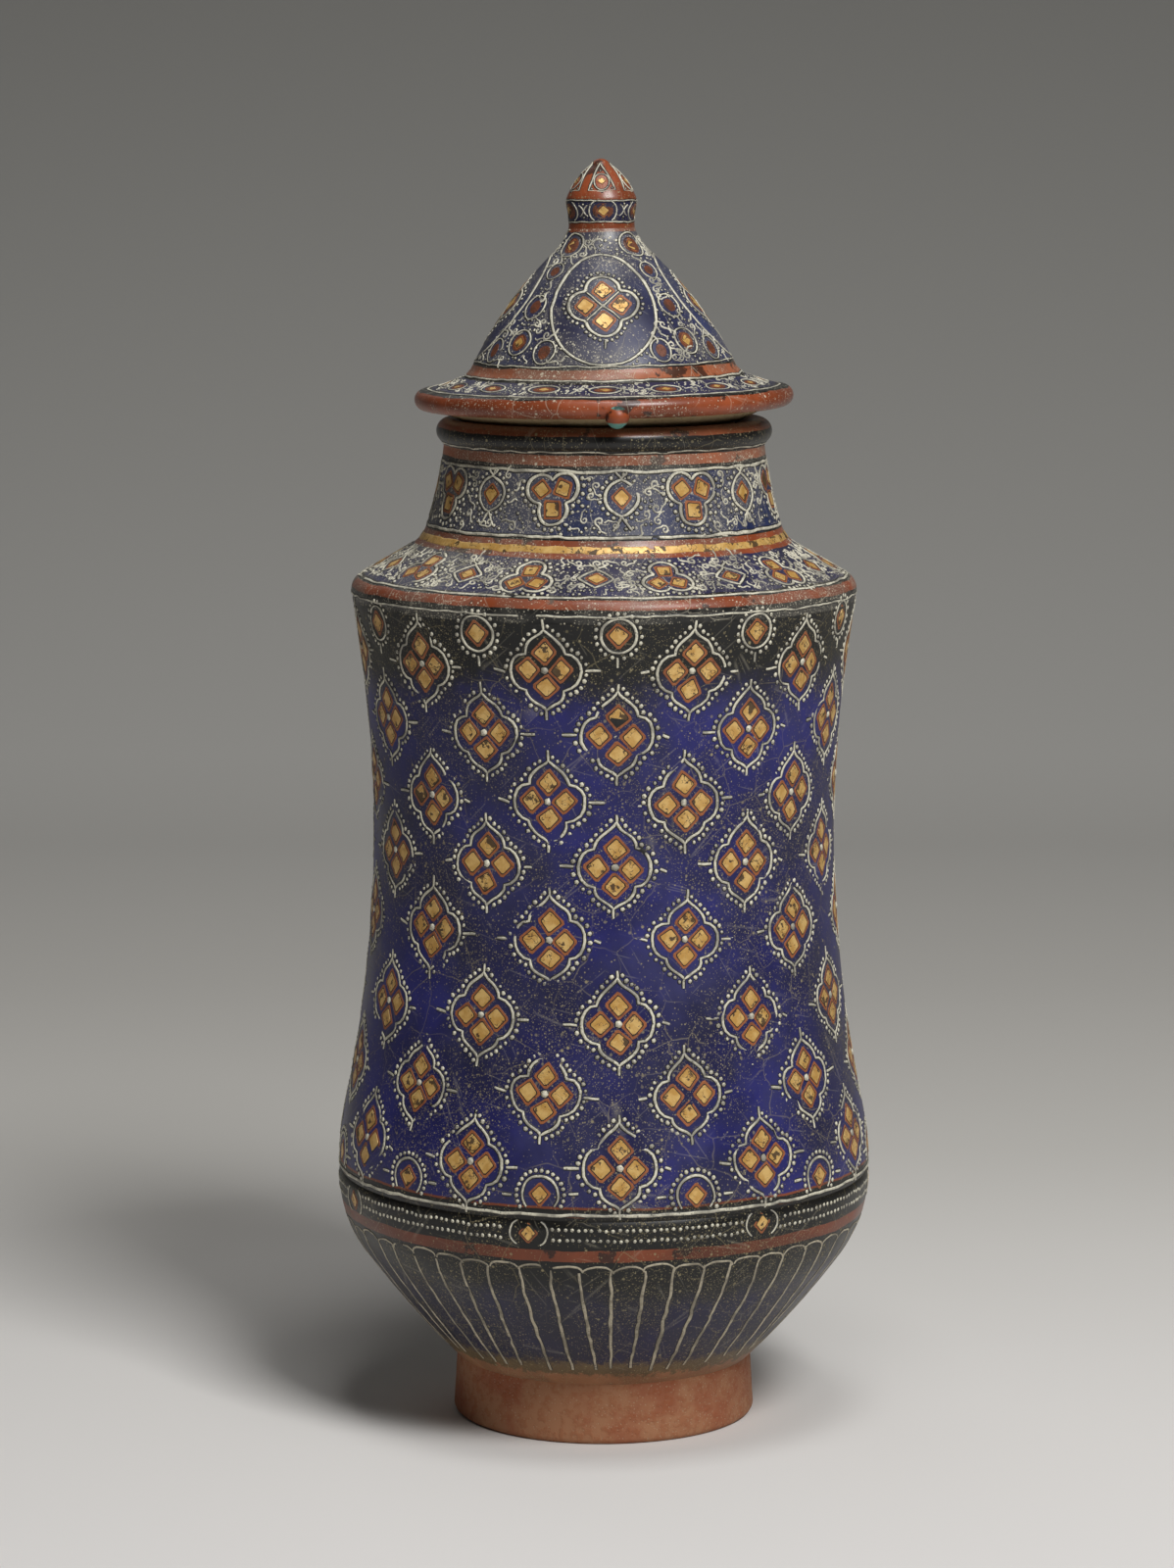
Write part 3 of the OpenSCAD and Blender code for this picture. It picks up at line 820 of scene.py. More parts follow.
def line_mesh(name, line, inside=(), closed=False):
    """A line of (radius, height) in mm as a mesh of points and edges, in metres."""
    points = [(p[0] * MM, 0.0, p[1] * MM) for p in line]
    if closed:
        points.append(points[0])
    edges = [(i, i + 1) for i in range(len(points) - 1)]
    return point_mesh(name, points, edges, inside=[1.0 if i in inside else 0.0 for i in range(len(points))])


def stance(body):
    """How a body's pieces lean and shift. Only the lid does."""
    if body == "lid":
        return {"Lean": tuple(lean), "Shift": tuple(lean_shift)}
    return {"Lean": (0, 0, 0), "Shift": (0, 0, 0)}


def throw(node, body, outside, inside, outer, within, closed=True, step=2.0):
    """Turns one section, and puts it in the place of its CAD node."""
    outside = dense(outside, step)
    inside = dense(inside, 3 * step) if len(inside) > 1 else list(inside)
    line = outside + inside
    source = line_mesh(node, line, range(len(outside), len(line)), closed)
    piece = made_by(WHEEL, node + "_wall", source, {"Outer": outer, "Inner": within, **stance(body)})
    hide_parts(node)
    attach(piece, body)
    spread = list(zip(*[vert.co for vert in piece.data.vertices]))
    corners = [Vector([min(axis) for axis in spread]), Vector([max(axis) for axis in spread])]
    off = max((a - b).length for a, b in zip(corners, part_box(node))) / MM
    print(f"{piece.name}: {len(piece.data.polygons)} faces, corners within {off:.2f} mm of the CAD node")


# %% The jar's six sections
throw("foot_ring", "jar", foot_line + [Vector((FOOT_HOLE_R, FOOT_H))], [], bare_clay, bare_clay)
under_bowl = [(0, FOOT_HOLLOW), (FOOT_HOLE_R, FOOT_HOLLOW), (FOOT_HOLE_R, FOOT_H)]
throw("lower_bowl", "jar", under_bowl + bowl_line + [(seam_r, BELLY_Z)],
      [(BELLY_R - WALL, BELLY_Z)] + inner(bowl_line, WALL)[::-1] + [(0, FOOT_H)],
      bowl_glaze, cream_glaze, closed=False)
throw("waist_drum", "jar", [(seam_r, BELLY_Z)] + drum_line,
      inner(drum_line, WALL)[::-1] + [(BELLY_R - WALL, BELLY_Z)], drum_glaze, cream_glaze)
throw("shoulder", "jar", shoulder_line,
      [(neck_in, NECK_Z), (neck_in, under_z(neck_in)), (drum_in, under_z(drum_in)), (drum_in, SHOULDER_Z)],
      shoulder_glaze, cream_glaze, step=1.4)
throw("neck", "jar", neck_line, inner(neck_line, NECK_WALL)[::-1],
      neck_glaze, cream_glaze, step=1.4)
throw("mouth_rim", "jar", rim_line, [(NECK_R - NECK_WALL, RIM_Z)],
      rim_glaze, cream_glaze, step=1.0)

# %% The lid's four sections
collar_z = seat_in.y - COLLAR_H
throw("lid_collar", "lid", lifted([(COLLAR_R - COLLAR_EDGE, collar_z), (COLLAR_R, collar_z + COLLAR_EDGE),
                                   (COLLAR_R, seat_in.y)]),
      lifted([(BRIM_HOLE_R, seat_in.y), (BRIM_HOLE_R, collar_z)]), cream_glaze, cream_glaze)
throw("lid_brim", "lid", lifted(roll_line + brim_top[1:]),
      lifted([(BRIM_HOLE_R, BELL_Z), (BRIM_HOLE_R, seat_in.y), seat_in, seat_out]), brim_glaze, cream_glaze,
      step=1.0)
throw("lid_cone", "lid", lifted(bell_line + [(0, KNOB_Z)]),
      lifted([dome_top] + hollow_line[::-1] + [(BRIM_HOLE_R, BELL_Z)]),
      cone_glaze, cream_glaze, step=1.4)
throw("lid_knob", "lid", lifted([(0, KNOB_Z)] + knob_line), [], knob_glaze, knob_glaze,
      closed=False, step=0.8)

# %% [markdown]
# ## The painter's marks
# The white outlines, the rows of dots and the lozenges repeat all over the jar, each a little different
# from the next because a hand drew them. So each mark is drawn flat once, in mm, as a stamp. Geometry Nodes
# then copy it to its places, let it waver, wear it down here and there, and bend it round the wall. They are
# real, slightly raised strokes, as enamel is, so they stay sharp from any distance.


# %% Flat lines for the stamps
def bezier(a, b, c, d, n=8):
    """Points of a cubic curve from a to d."""
    a, b, c, d = (Vector(p) for p in (a, b, c, d))
    found = []
    for i in range(n + 1):
        t = i / n
        found.append(a * (1 - t)**3 + 3 * b * t * (1 - t)**2 + 3 * c * t * t * (1 - t) + d * t**3)
    return found


def both_sides(right):
    """A closed outline from its right half, which runs from the top to the bottom."""
    return right + [Vector((-p.x, p.y)) for p in reversed(right[1:-1])]


def lobed(centres, r, n=60):
    """The closed outline round several circles that overlap in the middle."""
    found = []
    for i in range(n):
        a = -2 * math.pi * i / n
        ray = Vector((math.cos(a), math.sin(a)))
        reach = []
        for c in centres:
            along = Vector(c).dot(ray)
            room = r * r - Vector(c).length_squared + along * along
            if room >= 0:
                reach.append(along + math.sqrt(room))
        found.append(ray * max(reach))
    return found


LINE_ROOM = 1.2


def beads_round(outline, gap=1.55, pitch=1.75, clear=()):
    """Spots for a row of beads outside a closed outline that runs clockwise, off the lines in clear."""
    ring = dense(list(outline) + [outline[0]], 0.3)
    lines = [p for line in clear for p in dense(line, 0.5)]
    found = []
    for p, q in zip(ring, ring[1:]):
        step = q - p
        spot = p + Vector((-step.y, step.x)).normalized() * gap
        near_line = any((spot - o).length < LINE_ROOM for o in lines)
        crowded = any((spot - o).length < pitch for o in found)
        on_outline = min((spot - o).length for o in ring) < gap * 0.85
        if not (near_line or crowded or on_outline):
            found.append(spot)
    return found


def dotted(spots, width):
    """Beads of one width at the spots."""
    return [(p.x, p.y, width) for p in spots]


def pair(line, width):
    """The mirror image of an open stroke, and the stroke itself."""
    return [([Vector((s * p[0], p[1])) for p in line], width, False) for s in (-1, 1)]


hand = random.Random(11)
BLUNT = 0.12


def lozenge(x, y, wide, high, turn=0.0):
    """A square on its corner, by its half diagonals, with blunt corners that are never quite even."""
    found = []
    for a, b in ((1, BLUNT), (BLUNT, 1), (-BLUNT, 1), (-1, BLUNT),
                 (-1, -BLUNT), (-BLUNT, -1), (BLUNT, -1), (1, -BLUNT)):
        spot = Vector((a * wide, b * high)) * hand.uniform(0.9, 1.06)
        spot.rotate(Matrix.Rotation(turn, 2))
        found.append(Vector((x, y)) + spot)
    return found


def shrunk(outline, share):
    """The same outline, smaller about its middle."""
    middle = sum(outline, Vector((0, 0))) / len(outline)
    return [middle.lerp(p, share) for p in outline]


# %% Stamps as small meshes
ACROSS, DOWN_MORE, TIP, MIDDLE_MORE = 0.74, 0.42, 0.72, 0.28
TABLET_TOP, TABLET_SINK = 0.95, 0.12


def stroke_mesh(name, strokes):
    """Lines of (points, width in mm, closed) as points and edges, each point with its width.

    A pointed brush held upright draws broad down and thin across, and an open stroke tapers to both ends.
    """
    points, edges, widths = [], [], []
    for line, width, closed in strokes:
        first = len(points)
        points += [(p[0] * MM, p[1] * MM, 0.0) for p in line]
        edges += [(first + i, first + i + 1) for i in range(len(line) - 1)]
        if closed:
            edges.append((first + len(line) - 1, first))
        for i in range(len(line)):
            if closed:
                run = Vector(line[(i + 1) % len(line)]) - Vector(line[i - 1])
                share = ACROSS + DOWN_MORE * abs(run.y) / run.length
            else:
                share = TIP + MIDDLE_MORE * math.sin(math.pi * (i + 0.5) / len(line))
            widths.append(width * share * MM)
    return point_mesh(name, points, edges, width=widths)


def bead_mesh(name, beads):
    """Points of (x, y, diameter in mm)."""
    points = [(x * MM, y * MM, 0.0) for x, y, _ in beads]
    return point_mesh(name, points, width=[d * MM for _, _, d in beads])


def tablet_mesh(name, tablets, rise):
    """Thin raised plates from flat outlines, a little narrower at the top."""
    made = bpy.data.meshes.new(name)
    shape = bmesh.new()
    for outline in tablets:
        low = [shape.verts.new((p.x * MM, p.y * MM, -TABLET_SINK * MM)) for p in outline]
        high = [shape.verts.new((p.x * MM, p.y * MM, rise * MM)) for p in shrunk(outline, TABLET_TOP)]
        shape.faces.new(high)
        shape.faces.new(low[::-1])
        for i in range(len(outline)):
            j = (i + 1) % len(outline)
            shape.faces.new((low[i], low[j], high[j], high[i]))
    bmesh.ops.recalc_face_normals(shape, faces=shape.faces)
    shape.to_mesh(made)
    shape.free()
    return made


# %% [markdown]
# Two trees turn flat lines into paint. brush_stroke sweeps a low, flat-topped section along each line, and
# bead_row sets a flattened ball on each point. Both can lay a wider, lower dark skirt under the paint,
# because on the real jar each white line has a thin dark edge.


# %% Brush strokes
PAINT_TOP, SKIRT_TOP, SKIRT_RISE, BEAD_SKIRT = 0.6, 0.85, 0.00005, 0.00012


def joined(tree, one, other):
    both = tree.node("GeometryNodeJoinGeometry", {0: one})
    tree.link(other, both.inputs[0])
    return both.outputs[0]


def brush_tree():
    tree, given, out = new_tree(
        "brush_stroke", "GeometryNodeTree",
        [("Lines", GEOMETRY, None), ("Rise", FLOAT, 0.0002), ("Sink", FLOAT, 0.00012),
         ("Edging", FLOAT, 0.00028)], [("Stamp", GEOMETRY)])
    curve = tree.node("GeometryNodeMeshToCurve", {0: given["Lines"]}).outputs[0]
    curve = tree.node("GeometryNodeSetCurveNormal", {0: curve}, mode="Z_UP").outputs[0]
    half = tree.math("MULTIPLY", named(tree, "width"), 0.5)

    def swept(extra, rise, top):
        corners = {"Point 1": (-1.0, 0.5, 0.0), "Point 2": (-top, -0.5, 0.0),
                   "Point 3": (top, -0.5, 0.0), "Point 4": (1.0, 0.5, 0.0)}
        section = tree.node("GeometryNodeCurvePrimitiveQuadrilateral", corners, mode="POINTS").outputs[0]
        feeds = {"Curve": curve, "Profile Curve": section, "Scale": tree.math("ADD", half, extra),
                 "Fill Caps": True}
        body = tree.node("GeometryNodeCurveToMesh", feeds).outputs[0]
        x, y, z = tree.split(tree.node("GeometryNodeInputPosition").outputs[0])
        above = tree.math("GREATER_THAN", z, 0.0)
        thick = tree.math("ADD", rise, given["Sink"])
        level = tree.math("SUBTRACT", tree.math("MULTIPLY", above, thick), given["Sink"])
        return moved(tree, body, tree.vector(x, y, level))

    paint = stored(tree, swept(0.0, given["Rise"], PAINT_TOP), "edging", 0.0)
    skirt = stored(tree, swept(given["Edging"], SKIRT_RISE, SKIRT_TOP), "edging", 1.0)
    wanted = tree.math("GREATER_THAN", given["Edging"], 0.0)
    feeds = {"Switch": wanted, "True": skirt}
    skirt = tree.node("GeometryNodeSwitch", feeds, input_type="GEOMETRY").outputs[0]
    tree.link(joined(tree, paint, skirt), out["Stamp"])
    return tree.tree


# %% Beads
def bead_tree():
    tree, given, out = new_tree(
        "bead_row", "GeometryNodeTree",
        [("Points", GEOMETRY, None), ("Dome", FLOAT, 0.42), ("Edging", FLOAT, 0.0005)],
        [("Stamp", GEOMETRY)])
    ball = tree.node("GeometryNodeMeshIcoSphere", {"Radius": 0.5, "Subdivisions": 1}).outputs["Mesh"]
    width = named(tree, "width")

    def beads(across, high, flag):
        feeds = {"Points": given["Points"], "Instance": ball, "Scale": tree.vector(across, across, high)}
        placed = tree.node("GeometryNodeInstanceOnPoints", feeds).outputs[0]
        real = tree.node("GeometryNodeRealizeInstances", {0: placed}).outputs[0]
        return stored(tree, real, "edging", flag)

    paint = beads(width, tree.math("MULTIPLY", width, given["Dome"]), 0.0)
    skirt = beads(tree.math("ADD", width, given["Edging"]), BEAD_SKIRT, 1.0)
    tree.link(joined(tree, paint, skirt), out["Stamp"])
    return tree.tree


BRUSH, BEADS = brush_tree(), bead_tree()

# %% [markdown]
# lay_on_pot does the rest. Each place is a point whose y is the length along the wall and whose angle is an
# attribute, so a flat stamp lands at (sideways, along the wall, raised). The wall's own line then says how
# far from the axis that length lies, and the sideways part becomes an angle. Noise makes the hand waver,
# and sinks worn patches just below the glaze.


# %% Laying stamps on the pot
WEAR_REACH, WEAR_START, WEAR_EDGE, WEAR_DEPTH = -0.3, 0.78, 0.04, -0.0005


def lay_tree():
    tree, given, out = new_tree(
        "lay_on_pot", "GeometryNodeTree",
        [("Places", GEOMETRY, None), ("Stamp", OBJECT, None), ("Wall", OBJECT, None),
         ("Waver", FLOAT, 0.0003), ("Wear", FLOAT, 0.3), ("Low", FLOAT, 0.0), ("High", FLOAT, 1.0),
         ("Paint", MATERIAL, None), ("Edge Paint", MATERIAL, None), ("Smooth", "NodeSocketBool", True),
         ("Lean", VECTOR, None), ("Shift", VECTOR, None)], [("Painting", GEOMETRY)])
    stamp = tree.node("GeometryNodeObjectInfo", {"Object": given["Stamp"]}).outputs["Geometry"]
    size = named(tree, "size")
    placed = tree.node("GeometryNodeInstanceOnPoints", {
        "Points": given["Places"], "Instance": stamp, "Rotation": tree.vector(0.0, 0.0, named(tree, "turn")),
        "Scale": tree.vector(size, size, 1.0)}).outputs[0]
    flat = tree.node("GeometryNodeRealizeInstances", {0: placed}).outputs[0]

    x, s, raised = tree.split(tree.node("GeometryNodeInputPosition").outputs[0])
    angle = named(tree, "angle")
    across = tree.math("MULTIPLY_ADD", angle, UNROLL_R, x)
    wave = tree.split(tree.noise(tree.vector(across, s, 0.0), 170.0, 2.0)["Color"])
    swing = tree.math("MULTIPLY", given["Waver"], 4.0)
    x = tree.math("MULTIPLY_ADD", tree.math("SUBTRACT", wave[0], 0.5), swing, x)
    s = tree.math("MULTIPLY_ADD", tree.math("SUBTRACT", wave[1], 0.5), swing, s)

    wall = tree.node("GeometryNodeObjectInfo", {"Object": given["Wall"]}).outputs["Geometry"]
    wall = tree.node("GeometryNodeMeshToCurve", {0: wall}).outputs[0]
    feeds = {"Curves": wall, "Length": s}
    found = tree.node("GeometryNodeSampleCurve", feeds, mode="LENGTH", use_all_curves=True)
    radius, _, height = tree.split(found.outputs["Position"])
    out_run, _, up_run = tree.split(found.outputs["Tangent"])
    theta = tree.math("ADD", angle, tree.math("DIVIDE", x, radius))

    rub = tree.noise(tree.vector(across, s, 0.35), 105.0, 4.0, 0.6)["Fac"]
    limit = tree.math("MULTIPLY_ADD", given["Wear"], WEAR_REACH, WEAR_START)
    worn = tree.ramp(rub, limit, tree.math("ADD", limit, WEAR_EDGE))
    lift = tree.math("MULTIPLY_ADD", worn, WEAR_DEPTH, raised)
    uneven = thrown_offset(tree, theta, height)
    far = tree.math("ADD", tree.math("ADD", radius, uneven), tree.math("MULTIPLY", up_run, lift))
    up = tree.math("SUBTRACT", height, tree.math("MULTIPLY", out_run, lift))

    # On the map for baking, the paint lies in the lower half and its edging in the upper half.
    span = {0: s, 1: given["Low"], 2: given["High"], 3: 0.01, 4: 0.49}
    level = tree.node("ShaderNodeMapRange", span).outputs[0]
    level = tree.math("MULTIPLY_ADD", named(tree, "edging"), 0.5, level)
    turn = tree.math("MULTIPLY_ADD", theta, 0.94 / (2 * math.pi), 0.5)
    mapped = stored(tree, flat, "OFBake", tree.vector(turn, level, 0.0), "FLOAT2", "CORNER")
    bent = leaned(tree, moved(tree, mapped, round_axis(tree, far, theta, up)), given)
    smooth = tree.node("GeometryNodeSetShadeSmooth", {0: bent, 2: given["Smooth"]}).outputs[0]
    under = tree.math("GREATER_THAN", named(tree, "edging"), 0.5)
    tree.link(two_finishes(tree, smooth, given["Paint"], under, given["Edge Paint"]), out["Painting"])
    return tree.tree


LAY = lay_tree()


# %% The two walls that carry the painting
scaffold = []


class PaintedWall:
    """One body's outer line, which knows how far along it a height lies."""

    def __init__(self, body, line):
        self.body, self.line = body, [Vector(p) for p in line]
        self.object = bpy.data.objects.new(body + "_wall_line", line_mesh(body + "_wall_line", self.line))
        scene.collection.objects.link(self.object)
        scaffold.append(self.object)

    def along(self, z):
        """(length along the line, radius) in mm at a height."""
        run = 0.0
        for p, q in zip(self.line, self.line[1:]):
            if p.y <= z <= q.y and q.y > p.y:
                share = (z - p.y) / (q.y - p.y)
                return run + share * (q - p).length, p.lerp(q, share).x
            run += (q - p).length
        raise ValueError(f"{self.body} has no wall at {z} mm")


jar_line = bowl_line + [Vector((seam_r, BELLY_Z))] + drum_line
jar_line += shoulder_line[1:] + neck_line[1:] + rim_line[1:]
jar_wall = PaintedWall("jar", jar_line)
lid_wall = PaintedWall("lid", lifted(roll_line + brim_top[1:] + bell_line[1:] + knob_line[1:]))
painted_layers = {}


class Zone:
    """A stretch of one wall between two heights, whose paint of each kind becomes one piece."""

    def __init__(self, name, wall, low, high):
        self.name, self.wall = name, wall
        self.low, self.high = wall.along(low)[0] * MM, wall.along(high)[0] * MM


BOWL, DRUM = Zone("bowl", jar_wall, 20, 74.5), Zone("drum", jar_wall, 76.3, 249)
NECK, LID = Zone("neck", jar_wall, 249, 293), Zone("lid", lid_wall, 302, 374)


class Place:
    """Where a stamp goes: degrees from the front towards the right, height, and small moves in mm."""

    def __init__(self, degrees, z, dx=0.0, dy=0.0, size=1.0, turn=0.0):
        self.degrees, self.z, self.dx, self.dy, self.size, self.turn = degrees, z, dx, dy, size, turn


def ring_of(count, phase, z, jitter=0.35, **more):
    """Evenly spaced places round the pot, with the small errors of a hand."""
    found = []
    for i in range(count):
        degrees = (phase + 360 / count * i + 180) % 360 - 180
        found.append(Place(degrees, z, hand.gauss(0, jitter), hand.gauss(0, jitter),
                           hand.uniform(0.97, 1.03) * more.get("size", 1.0),
                           math.radians(hand.gauss(0, 1.6)) + more.get("turn", 0.0)))
    return found


def lay(zone, layer, stamp, places, paint, waver=0.3, wear=0.3):
    """Lays one stamp at all its places, and keeps the result with the others of its zone and layer."""
    wall = zone.wall
    spots, angles = [], []
    for p in places:
        run, radius = wall.along(p.z)
        spots.append((0.0, (run + p.dy) * MM, 0.0))
        angles.append(math.radians(p.degrees) + p.dx / radius)
    source = point_mesh("places", spots, angle=angles, size=[p.size for p in places],
                        turn=[p.turn for p in places])
    values = {"Stamp": stamp, "Wall": wall.object, "Waver": waver * MM, "Wear": wear, "Paint": paint,
              "Low": zone.low, "High": zone.high, "Edge Paint": dark_edging,
              "Smooth": layer.startswith("white"), **stance(wall.body)}
    made = made_by(LAY, f"{zone.name}_{layer}", source, values)
    painted_layers.setdefault((zone.name, layer, wall.body), []).append(made)


def stamped(tree, source, **values):
    """A stamp object that a tree makes from flat lines or points."""
    made = made_by(tree, source.name, source, values)
    scaffold.append(made)
    return made


def plate(name, tablets, rise):
    """A stamp object of thin plates."""
    made = bpy.data.objects.new(name, tablet_mesh(name, tablets, rise))
    scene.collection.objects.link(made)
    scaffold.append(made)
    return made


LEAF_LAYERS = [("red_lozenges", 1.0, 0.08, red_enamel), ("dark_gaps", 0.78, 0.11, dark_edging),
               ("gold_leaf", 0.69, 0.15, gold_leaf)]
SPOT_RISE, RING_STEPS, RING_WAVER = 0.06, 200, 0.4


class Motif:
    """A painted figure: white lines, beads, lozenges of red, dark and gold, and red spots."""

    def __init__(self, name, lines=(), beads=(), lozenges=(), edging=0.28, spots=()):
        self.stamps = {}
        if lines:
            source = stroke_mesh(name + "_lines", lines)
            self.stamps["white_lines"] = (stamped(BRUSH, source, Edging=edging * MM), white_enamel)
        if beads:
            self.stamps["white_beads"] = (stamped(BEADS, bead_mesh(name + "_beads", beads)), white_enamel)
        squares = [lozenge(*square) for square in lozenges]
        for layer, share, rise, paint in LEAF_LAYERS:
            if squares:
                plates = [shrunk(outline, share) for outline in squares]
                self.stamps[layer] = (plate(name + "_" + layer, plates, rise), paint)
        if spots:
            self.stamps["red_spots"] = (plate(name + "_spots", spots, SPOT_RISE), dull_enamel)

    def lay(self, zone, places, wear=0.3, waver=0.3):
        for layer, (stamp, paint) in self.stamps.items():
            share = wear if layer.startswith("white") else wear * 0.5
            lay(zone, layer, stamp, places, paint, waver, share)


def ring_line(name, zone, z, width, wear=0.4, paint=white_enamel, layer="white_lines",
              edging=0.25, rise=0.16):
    """One painted line right round the pot."""
    _, radius = zone.wall.along(z)
    line = [(radius * math.pi * (2 * i / RING_STEPS - 1), 0.0) for i in range(RING_STEPS + 1)]
    source = stroke_mesh(name, [(line, width, False)])
    source.attributes["width"].data.foreach_set("value", [width * MM] * len(line))
    stamp = stamped(BRUSH, source, Edging=edging * MM, Rise=rise * MM)
    lay(zone, layer, stamp, [Place(0.0, z)], paint, RING_WAVER, wear)


print("jar wall", round(jar_wall.along(MOUTH_Z - 0.1)[0]), "mm along, from foot to mouth")

# %% [markdown]
# ## The drum's diaper of quatrefoils
# Eight rows of eleven figures cover the drum, every other row moved by half a step. Each has an outline of
# two ogee points and two round lobes, a row of dots outside it, a short dash on each side, and four squares
# of gold leaf framed in red. Small roundels fill the gaps along the top and the bottom.

# %% The quatrefoil
LINE_W, BEAD_W = 0.9, 1.4
CUSP_UP, CUSP_LOW, PEAK, POINT = (5.7, 5.3), (5.7, -5.6), (0, 12.2), (0, -11.7)
SQUARES = [(0, 5.3, 3.9, 4.0), (-5.0, 0.1, 3.9, 3.9), (4.9, 0, 3.8, 3.9), (0.1, -4.9, 3.9, 3.9)]


def quatrefoil_motif(name):
    """One drawing of the figure. No two drawings have the same lobes, dashes or squares."""
    def near(point, by=0.35):
        return Vector((point[0] + hand.gauss(0, by) if point[0] else 0.0, point[1] + hand.gauss(0, by)))
    halves = []
    peak, point = near(PEAK), near(POINT)
    for side in (1, -1):
        up, low = near(CUSP_UP), near(CUSP_LOW)
        half = bezier(peak, near((1.1, 10.1)), near((5.7, 9.2)), up)
        half += bezier(up, near((11.7, 5.1)), near((11.7, -5.2)), low)[1:]
        half += bezier(low, near((5.9, -9.1)), near((1.1, -9.7)), point)[1:]
        halves.append([Vector((side * p.x, p.y)) for p in half])
    outline = halves[0] + halves[1][-2:0:-1]
    stems = [[peak, Vector((0, 15.0))], [point, Vector((0, -14.2))]]
    dashes = [[near((11.9, 0.1)), near((14.8, 0.2))], [near((-11.9, 0.0)), near((-15.0, 0.1))]]
    strokes = [(outline, LINE_W, True)] + [(dense(line, 1.2), LINE_W, False) for line in stems + dashes]
    spots = beads_round(outline, clear=stems + dashes)
    beads = [(p.x, p.y, BEAD_W * hand.uniform(0.8, 1.12)) for p in spots]
    squares = [(x + hand.gauss(0, 0.2), y + hand.gauss(0, 0.2), wide, high, hand.gauss(0, 0.07))
               for x, y, wide, high in SQUARES]
    return Motif(name, strokes, beads + [(0.0, 0.2, 2.4)], squares)


quatrefoils = [quatrefoil_motif(f"quatrefoil_{i}") for i in range(4)]

ring, tail = lobed([(0, 0)], 5.1, 30), [(0, -6.4), (0, -9.4)]
strokes = [(ring, LINE_W, True), (dense(tail, 1.2), LINE_W, False)]
beads = dotted(beads_round(ring, clear=[tail]), BEAD_W)
roundel = Motif("roundel", strokes, beads, [(0, 0, 3.8, 3.8, 0.08)])

arch = [Vector((-p[0], p[1])) for p in arc((0, 0), 5.6, -40, 220, 1.2)]
beads = dotted(arc((0, 0), 7.2, -30, 210, 1.8), BEAD_W)
side_dashes = pair(dense([(8.6, 0), (11.4, 0)], 1.2), LINE_W)
arched = Motif("arched", [(arch, LINE_W, False)] + side_dashes, beads, [(0, 0, 3.6, 3.7, 0)])

# %% Rows of the drum
DRUM_COUNT, EVEN_PHASE, ODD_PHASE, DRUM_WEAR = 11, 3.0, -13.4, 0.62
DRUM_ROWS = [232, 214, 194, 175.5, 154.5, 131, 110, 90.5]
ROUNDEL_Z, ARCHED_Z = 242.6, 82.3

for number, z in enumerate(DRUM_ROWS):
    phase = EVEN_PHASE if number % 2 else ODD_PHASE
    places = ring_of(DRUM_COUNT, phase, z)
    hand.shuffle(places)
    for i, drawing in enumerate(quatrefoils):
        drawing.lay(DRUM, places[i::len(quatrefoils)], DRUM_WEAR)
roundel.lay(DRUM, ring_of(DRUM_COUNT, EVEN_PHASE, ROUNDEL_Z))
arched.lay(DRUM, ring_of(DRUM_COUNT, ODD_PHASE, ARCHED_Z))
for name, z, width in (("groove_line", 77.0, 1.1), ("shoulder_line_low", 248.2, 0.7)):
    ring_line(name, DRUM, z, width)
print("drum:", DRUM_COUNT * len(DRUM_ROWS), "quatrefoils")

# %% [markdown]
# ## The bowl's gadroons and the dotted band
# Below the drum run a dark band with two rows of dots and small cartouches, a red band, and then fine white
# lines that fall to the foot with an arch between each pair, like the gadroons of a metal bowl.

# %% Band and gadroons
BAND_COUNT, BAND_PHASE, BAND_Z, DOT_PITCH, DOT_W = 7, -16.4, 70.9, 1.95, 1.25
DOT_ROWS, CARTOUCHE_ROOM = (72.6, 69.6), 6.6
GADROONS, GADROON_PHASE, ARCH_Z, GADROON_FOOT = 53, 1.7, 60.0, 23.8

brackets = pair(arc((1.6, 0), 4.0, -62, 62, 1.0), 0.7)
cartouche = Motif("band_cartouche", brackets, [], [(0, 0, 3.0, 3.0, 0)])
cartouches = ring_of(BAND_COUNT, BAND_PHASE, BAND_Z)
cartouche.lay(BOWL, cartouches)
dot = stamped(BEADS, bead_mesh("band_dot", [(0, 0, DOT_W)]), Edging=0.0)
dots = []
for z in DOT_ROWS:
    _, radius = jar_wall.along(z)
    for place in ring_of(round(2 * math.pi * radius / DOT_PITCH), hand.uniform(0, 2), z, 0.12):
        gap = min(abs((place.degrees - c.degrees + 180) % 360 - 180) for c in cartouches)
        if math.radians(gap) * radius > CARTOUCHE_ROOM:
            dots.append(place)
lay(BOWL, "white_beads", dot, dots, white_enamel, 0.2, 0.45)

top_run, top_r = jar_wall.along(ARCH_Z)
fall = top_run - jar_wall.along(GADROON_FOOT)[0]
pitch = 2 * math.pi * top_r / GADROONS
fall_line = dense([(0, 0.4), (0, -fall)], 2.2)
arch_line = bezier((0, 0), (0.3, 2.6), (pitch - 0.3, 2.6), (pitch, 0), 9)
for name, line, width, jitter, waver, wear in (("gadroon_line", fall_line, 1.3, 0.5, 0.5, 0.35),
                                               ("gadroon_arch", arch_line, 0.9, 0.3, 0.4, 0.55)):
    stamp = stamped(BRUSH, stroke_mesh(name, [(line, width, False)]), Edging=0.15 * MM, Rise=0.13 * MM)
    places = ring_of(GADROONS, GADROON_PHASE, ARCH_Z, jitter)
    lay(BOWL, "white_lines", stamp, places, buff_enamel, waver, wear)
print("bowl:", GADROONS, "gadroons and", len(dots), "dots")

